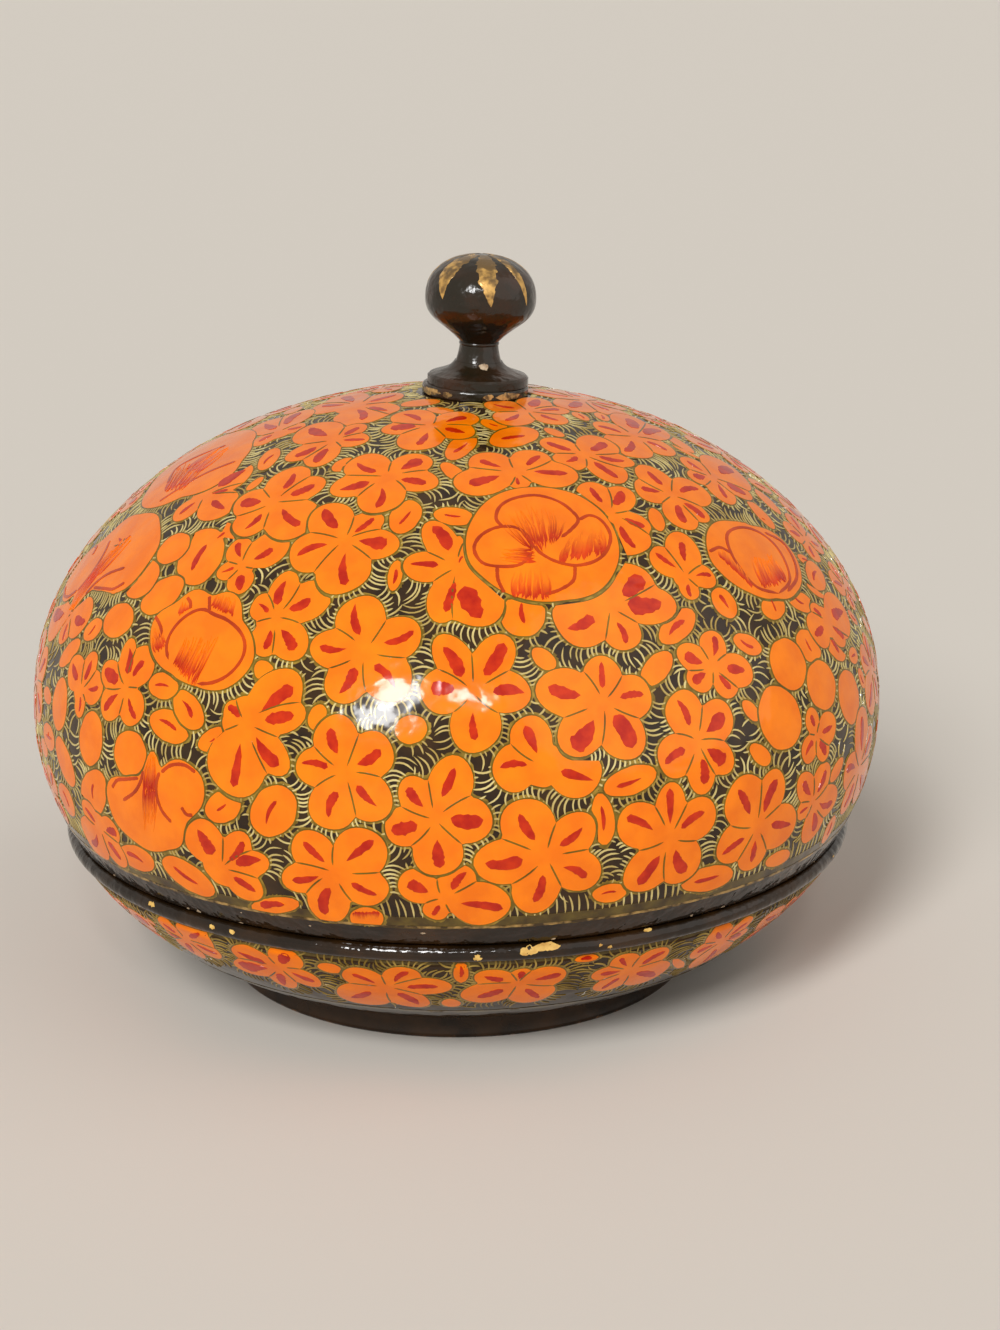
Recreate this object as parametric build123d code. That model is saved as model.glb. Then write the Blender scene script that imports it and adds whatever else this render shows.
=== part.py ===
from build123d import *
import math
import os

os.makedirs("parts", exist_ok=True)

# A round lacquered papier-mâché box: a deep domed lid with a turned wooden knob, on a shallow bowl
# that stands on a ring foot.  Millimetres, +Z up.  The origin is at the middle of the foot's lower face.

# Overall sizes
lid_radius = 65.0             # outside radius of the lid at its widest
base_height = 24.5            # foot's lower face to the bowl's mouth
lid_below_widest = 17.9       # lid's lower edge to its widest line
glue_line = 0.05              # gap that glue fills between curved faces

# Lid dome: a side arc, a haunch arc and a crown arc, each tangent to the next
side_radius = 36.0            # the side arc is centred level with the widest line
haunch_radius = 58.5
side_angle = 37.5             # elevation at which the side arc ends, in degrees
haunch_angle = 67.0           # elevation at which the haunch arc ends, in degrees
lid_wall = 2.8                # moulded paper of the lid
seam_gap = 0.25               # between the closed lid and the bowl's mouth

# Lid rim hoop
hoop_height = 3.0
hoop_edge_round = 0.5

# Knob: heights are along its own axis
knob_offset = 3.2             # the knob's hole is this far off the middle of the crown
seat_disc_radius = 8.0        # stepped disc under the knob
seat_disc_height = 1.6
seat_disc_top_round = 0.55
seat_disc_foot_round = 0.3
seat_disc_shift = 0.35        # the disc is glued this far off the knob's axis
flat_margin = 0.4             # the flats on the crown are this much larger than their discs
flare_radius = 7.6            # foot of the knob
flare_lip = 1.4               # upright edge of the foot
flare_lip_round = 0.35
neck_foot_radius = 3.6        # where the flare ends
neck_foot_height = 3.4        # the same place above the knob's foot
neck_foot_step = 0.2          # the neck steps in here
neck_radius = 2.9             # neck under the ball
neck_height = 5.8             # knob's foot to the ring round the neck
neck_ring_height = 0.5
neck_ring_bulge = 0.12
ball_radius = 8.3             # ball at its widest
ball_under_height = 6.5       # neck ring to the ball's widest line
ball_under_radius = 5.55      # ball where its underside turns in towards the neck
ball_under_drop = 4.2         # the same place below the widest line
ball_over_height = 6.45       # ball's widest line to its top
ball_fullness = 0.73          # of both half-sizes at its shoulder; 0.707 would be an ellipse
spigot_radius = 2.4           # dowel turned on the knob's foot
spigot_clearance = 0.2        # all round the spigot
spigot_proud = 0.8            # how far the spigot stands out of the backing disc
spigot_chamfer = 0.4
backing_radius = 9.0          # pasteboard disc inside the crown
backing_thickness = 1.2

# Bowl
mouth_set_in = 0.75           # the bowl's mouth stands in this far from the lid's edge
mouth_upright = 3.3           # upright part of the mouth
bowl_curve = 45.0             # radius of the bowl's side in section
bowl_wall = 2.8               # moulded paper of the bowl
underside_radius = 37.9       # where the side meets the flat underside

# Rim bead
bead_height = 2.3
bead_bulge = 1.5              # how far it stands out of the mouth

# Locating collar
collar_thickness = 1.6
collar_depth = 4.5            # below the bowl's mouth, down to its ledge
collar_rise = 4.5             # above the bowl's mouth, into the lid
collar_clearance = 0.4        # all round, between the collar and the lid's hoop
collar_lead = 0.6             # chamfer that guides the lid on

# Foot ring
foot_height = 4.0
foot_set_in = 1.0             # the ring stands in this far from the edge of the bowl's underside
foot_width = 4.0
foot_waist = 0.5              # depth of the hollow turned round the ring
foot_edge_round = 0.6


def on_circle(centre, radius, elevation):
    """The point of a circle in the section at an elevation in degrees."""
    angle = math.radians(elevation)
    return (centre[0] + radius * math.cos(angle), centre[1] + radius * math.sin(angle))


def circle_x(centre, radius, height):
    """How far from the axis a circle in the section is at a height."""
    return centre[0] + math.sqrt(radius ** 2 - (height - centre[1]) ** 2)


def centre_through(start, end, radius):
    """The centre, above and inside the chord, of a circle through two points of the section."""
    across = end[0] - start[0]
    up = end[1] - start[1]
    chord = math.hypot(across, up)
    rise = math.sqrt(radius ** 2 - (chord / 2) ** 2) / chord
    return ((start[0] + end[0]) / 2 - up * rise, (start[1] + end[1]) / 2 + across * rise)


# Dome: centres of its arcs
seam_height = base_height + seam_gap
hoop_top = seam_height + hoop_height
side_centre = (lid_radius - side_radius, seam_height + lid_below_widest)
haunch_centre = on_circle(side_centre, side_radius - haunch_radius, side_angle)
haunch_end = on_circle(haunch_centre, haunch_radius, haunch_angle)
crown_radius = haunch_end[0] / math.cos(math.radians(haunch_angle))
crown_centre = (0.0, haunch_end[1] - crown_radius * math.sin(math.radians(haunch_angle)))

# Knob: its axis runs through the crown's centre, so off the middle it leans outwards
knob_lean = math.degrees(math.asin(knob_offset / crown_radius))
seat_flat_radius = seat_disc_radius + seat_disc_shift + flat_margin
seat_flat_distance = math.sqrt(crown_radius ** 2 - seat_flat_radius ** 2)
knob_frame = Pos(0, 0, crown_centre[1]) * Rot(0, knob_lean, 0)
knob_seat = knob_frame * Pos(0, 0, seat_flat_distance)
backing_seat = knob_frame * Pos(0, 0, crown_radius - lid_wall)
knob_foot = seat_disc_height
spigot_end = crown_radius - lid_wall - backing_thickness - spigot_proud - seat_flat_distance
bore_radius = spigot_radius + spigot_clearance

# Bowl: mouth, side and the ledge for the collar
mouth_radius = circle_x(side_centre, side_radius, seam_height) - mouth_set_in
mouth_foot = base_height - mouth_upright
bowl_centre = centre_through((underside_radius, foot_height), (mouth_radius, mouth_foot), bowl_curve)
rebate_radius = mouth_radius - bowl_wall
ledge_height = base_height - collar_depth
floor_height = foot_height + bowl_wall
collar_outer_radius = rebate_radius - glue_line
collar_inner_radius = collar_outer_radius - collar_thickness
hoop_inner_radius = collar_outer_radius + collar_clearance


def turned(outline):
    """A solid turned about +Z from a closed outline of (distance from the axis, height)."""
    return revolve(Plane.XZ * make_face(outline), Axis.Z)


def arc_between(centre, radius, start, end):
    """An arc from one point of the section to another, about a centre."""
    angles = [math.degrees(math.atan2(z - centre[1], x - centre[0])) for x, z in (start, end)]
    return ThreePointArc(start, on_circle(centre, radius, sum(angles) / 2), end)


def dome_solid(inset, bottom):
    """What lies under the lid's dome, drawn in by an inset, down to a height."""
    foot = (circle_x(side_centre, side_radius - inset, bottom), bottom)
    side_end = on_circle(side_centre, side_radius - inset, side_angle)
    end_of_haunch = on_circle(haunch_centre, haunch_radius - inset, haunch_angle)
    crown = (0.0, crown_centre[1] + crown_radius - inset)
    return turned(
        [
            arc_between(side_centre, side_radius - inset, foot, side_end),
            arc_between(haunch_centre, haunch_radius - inset, side_end, end_of_haunch),
            arc_between(crown_centre, crown_radius - inset, end_of_haunch, crown),
            Line(crown, (0, bottom)),
            Line((0, bottom), foot),
        ]
    )


def outer_circle(solid, face_axis_end):
    """The largest circular edge at the top (-1) or the bottom (0) of a turned solid."""
    level = solid.edges().filter_by(GeomType.CIRCLE).group_by(Axis.Z)[face_axis_end]
    return level.sort_by(SortBy.RADIUS)[-1]


def disc(radius, bottom, top):
    """A plain disc between two heights."""
    return Pos(0, 0, (bottom + top) / 2) * Cylinder(radius, top - bottom)


def lid_shell():
    """The moulded dome, with a flat outside and one inside for the knob's discs, and the knob's hole."""
    shell = dome_solid(0, hoop_top) - dome_solid(lid_wall, hoop_top)
    shell -= knob_seat * disc(seat_flat_radius, 0, lid_wall)
    shell -= backing_seat * disc(backing_radius + flat_margin, -lid_wall, 0)
    return shell - knob_seat * disc(bore_radius, -2 * lid_wall, lid_wall)


def lid_rim_hoop():
    """The hoop round the lid's mouth; its outside carries the dome's side arc down to the seam."""
    foot = (circle_x(side_centre, side_radius, seam_height), seam_height)
    top = (circle_x(side_centre, side_radius, hoop_top), hoop_top)
    hoop = turned(
        [
            Line((hoop_inner_radius, seam_height), foot),
            arc_between(side_centre, side_radius, foot, top),
            Line(top, (hoop_inner_radius, hoop_top)),
            Line((hoop_inner_radius, hoop_top), (hoop_inner_radius, seam_height)),
        ]
    )
    return fillet(outer_circle(hoop, 0), hoop_edge_round)


def knob_seat_disc():
    """The disc between crown and knob, glued a little off the knob's axis."""
    plate = disc(seat_disc_radius, 0, seat_disc_height)
    plate = fillet(outer_circle(plate, -1), seat_disc_top_round)
    plate = fillet(outer_circle(plate, 0), seat_disc_foot_round)
    plate = Pos(-seat_disc_shift, 0, 0) * plate
    return knob_seat * (plate - disc(bore_radius, 0, seat_disc_height))


def knob_finial():
    """Ball, ringed neck, flare and spigot, turned in one piece."""
    lip = knob_foot + flare_lip
    neck_foot = knob_foot + neck_foot_height
    ring_foot = knob_foot + neck_height
    ring_top = ring_foot + neck_ring_height
    widest = ring_top + ball_under_height
    ring_crest = (neck_radius + neck_ring_bulge, (ring_foot + ring_top) / 2)
    bottom = Polyline(
        (0, spigot_end),
        (spigot_radius - spigot_chamfer, spigot_end),
        (spigot_radius, spigot_end + spigot_chamfer),
        (spigot_radius, knob_foot),
        (flare_radius, knob_foot),
        (flare_radius, lip - flare_lip_round),
        (flare_radius - flare_lip_round, lip),
    )
    flare = Spline(
        bottom @ 1, (neck_foot_radius, neck_foot), tangents=[(-1, 0.4), (-0.5, 1)]
    )
    step = Line(flare @ 1, (neck_foot_radius - neck_foot_step, neck_foot))
    neck = Spline(step @ 1, (neck_radius, ring_foot), tangents=[(-0.3, 1), (-0.1, 1)])
    ring = ThreePointArc(neck @ 1, ring_crest, (neck_radius, ring_top))
    tuck = (ball_under_radius, widest - ball_under_drop)
    shoulder = (ball_fullness * ball_radius, widest + ball_fullness * ball_over_height)
    top = (0, widest + ball_over_height)
    under = Spline(ring @ 1, tuck, (ball_radius, widest), tangents=[(1, 1.1), (0, 1)])
    over = Spline(under @ 1, shoulder, top, tangents=[(0, 1), (-1, 0)])
    axis = Line(over @ 1, bottom @ 0)
    return knob_seat * turned([bottom, flare, step, neck, ring, under, over, axis])


def knob_backing_disc():
    """The pasteboard disc glued round the spigot's end, on the flat inside the crown."""
    return backing_seat * (
        disc(backing_radius, -backing_thickness, 0) - disc(bore_radius, -backing_thickness, 0)
    )


def base_bowl():
    """The moulded bowl: flat underside, curved side, upright mouth with a ledge for the collar."""
    inner_curve = bowl_curve - bowl_wall
    underside_edge = (underside_radius, foot_height)
    mouth_foot_point = (mouth_radius, mouth_foot)
    ledge_inner = (circle_x(bowl_centre, inner_curve, ledge_height), ledge_height)
    floor_edge = (circle_x(bowl_centre, inner_curve, floor_height), floor_height)
    rim = Polyline(
        mouth_foot_point,
        (mouth_radius, base_height),
        (rebate_radius, base_height),
        (rebate_radius, ledge_height),
        ledge_inner,
    )
    floor = Polyline(floor_edge, (0, floor_height), (0, foot_height), underside_edge)
    return turned(
        [
            arc_between(bowl_centre, bowl_curve, underside_edge, mouth_foot_point),
            rim,
            arc_between(bowl_centre, inner_curve, ledge_inner, floor_edge),
            floor,
        ]
    )


def base_rim_bead():
    """The rounded bead glued round the upright mouth, level with its top."""
    inside = mouth_radius + glue_line
    foot = (inside, base_height - bead_height)
    top = (inside, base_height)
    crest = (mouth_radius + bead_bulge, base_height - bead_height / 2)
    return turned([ThreePointArc(foot, crest, top), Line(top, foot)])


def base_locating_collar():
    """The pasteboard collar that stands on the bowl's ledge and centres the lid."""
    top = base_height + collar_rise
    collar = disc(collar_outer_radius, ledge_height, top)
    collar = chamfer(outer_circle(collar, -1), collar_lead)
    return collar - disc(collar_inner_radius, ledge_height, top)


def foot_ring():
    """The turned ring under the bowl, hollowed round its outside."""
    outside = underside_radius - foot_set_in
    inside = outside - foot_width
    ring = turned(
        [
            Line((inside, 0), (outside, 0)),
            ThreePointArc((outside, 0), (outside - foot_waist, foot_height / 2), (outside, foot_height)),
            Line((outside, foot_height), (inside, foot_height)),
            Line((inside, foot_height), (inside, 0)),
        ]
    )
    return fillet(outer_circle(ring, 0), foot_edge_round)


for make in (
    lid_shell,
    lid_rim_hoop,
    knob_seat_disc,
    knob_finial,
    knob_backing_disc,
    base_bowl,
    base_rim_bead,
    base_locating_collar,
    foot_ring,
):
    export_step(make(), f"parts/{make.__name__}.step")
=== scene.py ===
import math

import bpy
import numpy as np
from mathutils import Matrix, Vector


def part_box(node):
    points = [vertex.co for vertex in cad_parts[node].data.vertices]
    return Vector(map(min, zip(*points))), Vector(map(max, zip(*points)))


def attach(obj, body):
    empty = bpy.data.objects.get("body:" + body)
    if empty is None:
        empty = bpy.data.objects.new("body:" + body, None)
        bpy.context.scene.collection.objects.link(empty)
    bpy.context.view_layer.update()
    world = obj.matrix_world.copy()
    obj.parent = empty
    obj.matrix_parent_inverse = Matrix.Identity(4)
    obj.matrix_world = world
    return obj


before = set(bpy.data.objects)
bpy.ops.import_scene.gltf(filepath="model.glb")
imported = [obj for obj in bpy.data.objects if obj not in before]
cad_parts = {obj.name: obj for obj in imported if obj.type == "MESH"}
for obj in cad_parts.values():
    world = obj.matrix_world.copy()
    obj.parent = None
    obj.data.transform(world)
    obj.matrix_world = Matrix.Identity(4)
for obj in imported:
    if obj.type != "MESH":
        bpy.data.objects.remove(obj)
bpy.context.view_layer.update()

# The view.  The box stands on a wide pale floor and is seen from the front and a little above.
# The frame is 1000 x 1330, and places in it, where they are used below, are (across, down) from
# its upper left corner.
FRAME_WIDTH, FRAME_HEIGHT = 1000, 1330
FOCAL_LENGTH = 2565.0                 # in the frame's own units
CAMERA_PLACE = np.array([0.0066, -0.3824, 0.1600])
CAMERA_PITCH = math.radians(16.54)    # how far the camera looks down
FILM_WIDTH = 36.0

camera = bpy.data.objects.new("camera", bpy.data.cameras.new("camera"))
camera.data.sensor_fit = "HORIZONTAL"
camera.data.sensor_width = FILM_WIDTH
camera.data.lens = FILM_WIDTH * FOCAL_LENGTH / FRAME_WIDTH
camera.data.clip_start = 0.01
camera.location = CAMERA_PLACE
camera.rotation_euler = (math.pi / 2 - CAMERA_PITCH, 0, 0)
bpy.context.scene.collection.objects.link(camera)
bpy.context.scene.camera = camera
bpy.context.scene.view_settings.view_transform = "Standard"


# Room: a plain pale floor, an even pale sky, and far-off lights: a tall window above the camera's
# left shoulder, a small pane beside it, and a weak broad one on the right.  Seen straight or in a
# reflection, the sky is as pale as the floor; it throws no more light for it.


def colour(red, green, blue):
    """A colour given as it shows, 0 to 255, as the linear light that the shader needs."""
    shown = np.array([red, green, blue]) / 255
    return (*np.where(shown <= 0.04045, shown / 12.92, ((shown + 0.055) / 1.055) ** 2.4), 1.0)


FLOOR_REACH = 30.0
FLOOR_COLOUR = colour(218, 212, 203)
SKY_COLOUR = colour(226, 220, 212)
SKY_STRENGTH = 0.37
SKY_SHOWN = 0.80
# name: side, height and breadth in degrees, from the way the camera looks, and strength
LIGHTS = {
    "upper_window_light": (-18, 41, 13.5, 1.35),
    "lower_window_light": (-21, 30, 13.5, 1.30),
    "side_pane_light": (4, 40, 6, 0.26),
    "fill_light": (60, 30, 75, 0.60),
}

floor = bpy.data.objects.new("floor", bpy.data.meshes.new("floor"))
corners = [(-1, -1, 0), (1, -1, 0), (1, 1, 0), (-1, 1, 0)]
floor.data.from_pydata([tuple(FLOOR_REACH * np.array(c)) for c in corners], [], [(0, 1, 2, 3)])
bpy.context.scene.collection.objects.link(floor)
floor_material = bpy.data.materials.new("pale_floor")
floor_material.use_nodes = True
floor_shader = floor_material.node_tree.nodes["Principled BSDF"]
floor_shader.inputs["Base Color"].default_value = FLOOR_COLOUR
floor_shader.inputs["Roughness"].default_value = 0.8
floor_shader.inputs["Specular IOR Level"].default_value = 0.2
floor.data.materials.append(floor_material)


def node(tree, kind, **inputs):
    """A shader node with its plain inputs set; an input given as a socket is joined to it."""
    made = tree.nodes.new(kind)
    for name, value in inputs.items():
        socket = made.inputs[name.replace("_", " ")]
        if isinstance(value, bpy.types.NodeSocket):
            tree.links.new(value, socket)
        else:
            socket.default_value = value
    return made


def reckoned(tree, operation, first, second):
    """Two sockets put together by an operation of arithmetic."""
    made = tree.nodes.new("ShaderNodeMath")
    made.operation = operation
    tree.links.new(first, made.inputs[0])
    tree.links.new(second, made.inputs[1])
    return made.outputs[0]


def is_seen(tree):
    """1 for rays from the camera or sent on by a mirror or glass, 0 for rays that light things."""
    path = tree.nodes.new("ShaderNodeLightPath").outputs
    mirrored = reckoned(tree, "MAXIMUM", path["Is Camera Ray"], path["Is Glossy Ray"])
    return reckoned(tree, "MAXIMUM", mirrored, path["Is Transmission Ray"])


def ramped(tree, value, low, high, at_low, at_high):
    """A value carried from one range to another and held at its ends."""
    return node(
        tree, "ShaderNodeMapRange", Value=value,
        From_Min=low, From_Max=high, To_Min=at_low, To_Max=at_high,
    ).outputs["Result"]


world = bpy.data.worlds.new("room")
bpy.context.scene.world = world
world.use_nodes = True
sky = world.node_tree.nodes["Background"]
sky.inputs["Color"].default_value = SKY_COLOUR
shown = ramped(world.node_tree, is_seen(world.node_tree), 0.0, 1.0, SKY_STRENGTH, SKY_SHOWN)
world.node_tree.links.new(shown, sky.inputs["Strength"])

for light_name, (side, height, breadth, strength) in LIGHTS.items():
    light = bpy.data.objects.new(light_name, bpy.data.lights.new(light_name, "SUN"))
    light.data.angle = math.radians(breadth)
    light.data.energy = strength
    light.rotation_euler = (math.radians(90 - height), 0, math.radians(side))
    bpy.context.scene.collection.objects.link(light)


# Lid shell: a dome moulded from layers of paper, painted brown-black all over as the ground for the
# flowers, and varnished.  Its inside is left plain.
GROUND_COLOUR = colour(36, 23, 11)
GROUND_WARM = colour(58, 38, 15)
RUBBED_SCALE = 60.0                   # duller and shinier places, this many to a metre


def varnished(name, deep, light, patch=0.004, gloss=0.09, wave=0.006, relief=0.042, shine=0.40,
              spread=(0.35, 0.65)):
    """A brushed colour under varnish: cloudy between two shades, with the varnish's own low waves.

    Patch is the size of the clouds and spread the part of their noise that is drawn out between
    the shades.  Gloss is the roughness, wave and relief are the length of the waves and their
    height as a share of it, and shine is the strength of the mirroring.  Clouds and waves are
    noise in object coordinates, so they run on from piece to piece.
    """
    made = bpy.data.materials.new(name)
    made.use_nodes = True
    tree = made.node_tree
    shader = tree.nodes["Principled BSDF"]
    place = tree.nodes.new("ShaderNodeTexCoord").outputs["Object"]
    clouds = node(tree, "ShaderNodeTexNoise", Vector=place, Scale=1 / patch, Detail=4.0)
    blend = tree.nodes.new("ShaderNodeValToRGB")
    tree.links.new(clouds.outputs["Fac"], blend.inputs["Fac"])
    blend.color_ramp.elements[0].position, blend.color_ramp.elements[1].position = spread
    blend.color_ramp.elements[0].color = deep
    blend.color_ramp.elements[1].color = light
    tree.links.new(blend.outputs["Color"], shader.inputs["Base Color"])
    waves = node(tree, "ShaderNodeTexNoise", Vector=place, Scale=1 / wave, Detail=2.5)
    height = waves.outputs["Fac"]
    bump = node(tree, "ShaderNodeBump", Height=height, Distance=wave * relief, Strength=1.0)
    tree.links.new(bump.outputs["Normal"], shader.inputs["Normal"])
    rubbed = node(tree, "ShaderNodeTexNoise", Vector=place, Scale=RUBBED_SCALE, Detail=3.0)
    roughness = ramped(tree, rubbed.outputs["Fac"], 0.3, 0.7, gloss * 0.8, gloss * 1.25)
    tree.links.new(roughness, shader.inputs["Roughness"])
    shader.inputs["IOR"].default_value = 1.45
    shader.inputs["Specular IOR Level"].default_value = shine
    return made


def dress(piece, *materials):
    """Gives a piece these materials in place of its own."""
    piece.data.materials.clear()
    for material in materials:
        piece.data.materials.append(material)


ground = varnished("ground_lacquer", GROUND_COLOUR, GROUND_WARM)
dress(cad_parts["lid_shell"], ground)


def corners_of(name):
    """The corners of a CAD node and the way its surface faces at each, as two arrays."""
    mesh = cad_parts[name].data
    corners = np.empty(len(mesh.vertices) * 3)
    mesh.vertices.foreach_get("co", corners)
    facing = np.empty(len(mesh.vertices) * 3)
    mesh.vertices.foreach_get("normal", facing)
    return corners.reshape(-1, 3), facing.reshape(-1, 3)


def heights_and_turns(points):
    """Elevation above the horizontal, compass turn and length of vectors."""
    across = np.hypot(points[..., 0], points[..., 1])
    return (
        np.arctan2(points[..., 2], across),
        np.arctan2(points[..., 1], points[..., 0]),
        np.hypot(across, points[..., 2]),
    )


def skin_of(names, hub, low, high, lean=np.eye(3)):
    """The outside of turned nodes, as their reach from a hub on the axis at each elevation.

    Every outward-facing CAD corner lies on the turned surface, so its elevation and its distance
    from the hub give one point of the outline.  The outline's slope gives the elevation that the
    surface faces.  The columns of lean are the turned piece's own X, Y and axis.
    """
    found = [corners_of(name) for name in names]
    corners = (np.concatenate([c for c, _ in found]) - hub) @ lean
    facing = np.concatenate([f for _, f in found]) @ lean
    elevation, _, reach = heights_and_turns(corners)
    outside = (np.einsum("ij,ij->i", corners, facing) > 0.3 * reach) & (elevation > low)
    outside &= elevation < high
    steps, first = np.unique(np.round(elevation[outside], 4), return_index=True)
    even = np.linspace(steps[0], steps[-1], 400)
    outline = np.interp(even, steps, reach[outside][first])
    slope = np.gradient(outline, even)
    return np.asarray(hub), even, outline, even - np.arctan2(slope, outline), lean


def direction(elevation, turn):
    """Unit vectors at elevations and compass turns."""
    level = np.cos(elevation)
    return np.stack([level * np.cos(turn), level * np.sin(turn), np.sin(elevation)], axis=-1)


def settled(points, skin, lift=0.0):
    """Points moved along lines from the hub on to a skin, then out along its normal by a lift."""
    hub, even, outline, tilt, lean = skin
    elevation, turn, _ = heights_and_turns((points - hub) @ lean)
    reach = np.interp(elevation, even, outline)
    facing = np.interp(elevation, even, tilt)
    on_skin = reach[..., None] * direction(elevation, turn)
    lifted = on_skin + np.asarray(lift)[..., None] * direction(facing, turn)
    return hub + lifted @ lean.T


def normals_at(points, skin):
    """The way a skin faces at points."""
    hub, even, _, tilt, lean = skin
    elevation, turn, _ = heights_and_turns((points - hub) @ lean)
    return direction(np.interp(elevation, even, tilt), turn) @ lean.T


SIGHT_NEAR, SIGHT_FAR = 0.29, 0.48    # the box lies between these distances from the camera
SIGHT_STEP = 0.0005


def seen_at(places, skin):
    """Where lines of sight through places of the frame first meet a skin.

    Each line is walked in short steps until it is inside; one that misses is brought in from
    where it passes closest.
    """
    places = np.asarray(places, float)
    hub, even, outline = skin[:3]
    across = (places[..., 0] - FRAME_WIDTH / 2) / FOCAL_LENGTH
    up = (FRAME_HEIGHT / 2 - places[..., 1]) / FOCAL_LENGTH
    sine, cosine = math.sin(CAMERA_PITCH), math.cos(CAMERA_PITCH)
    sight = np.stack([across, cosine + up * sine, up * cosine - sine], axis=-1)
    walk = np.arange(SIGHT_NEAR, SIGHT_FAR, SIGHT_STEP)
    path = CAMERA_PLACE + walk[:, None] * sight[..., None, :]
    elevation, _, length = heights_and_turns(path - hub)
    outside = length - np.interp(elevation, even, outline)
    step = np.where((outside < 0).any(-1), (outside < 0).argmax(-1), outside.argmin(-1))
    step = np.maximum(step, 1)[..., None]
    before = np.take_along_axis(outside, step - 1, -1)
    after = np.take_along_axis(outside, step, -1)
    part = np.clip(before / np.where(before == after, 1, before - after), 0, 1)
    met = CAMERA_PLACE + (walk[step] + (part - 1) * SIGHT_STEP) * sight
    return settled(met, skin)


DOME_HUB = (0, 0, 0.0426)             # level with the dome's widest line
dome = skin_of(("lid_shell", "lid_rim_hoop"), DOME_HUB, math.radians(-20), math.radians(84))


# Flowers on the lid.  Each is five or so broad flat petals of orange body paint round a heart, laid
# over the ground with a full brush.  On the side that the view shows they stand where it shows
# them; round the back they are set out afresh, each filling the room that its neighbours leave.
PETAL_ORANGE = colour(246, 127, 3)
PETAL_ORANGE_DEEP = colour(235, 113, 3)
PAINT_SUNK = -0.00004                 # edges of the paint go this far below the surface
PETAL_LIFT, BUD_LIFT, ROSE_LIFT = 0.00011, 0.000099, 0.000121
TIP_LEAST, TIP_MOST = 0.0038, 0.0115  # from a flower's heart to the tip of a petal
CORE = 0.40                           # reach of the notches, as a share of the petals' own
PETAL_MIDDLE, PETAL_HALF = 0.56, 0.44 # middle and half-length of a petal's oval, as such shares
PETAL_SLIM, PETAL_BROAD = 0.26, 0.43  # and its half-width, by the room between its neighbours
TURNS = 72
TURN = np.arange(TURNS) * 2 * math.pi / TURNS
chance = np.random.default_rng(7)

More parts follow.
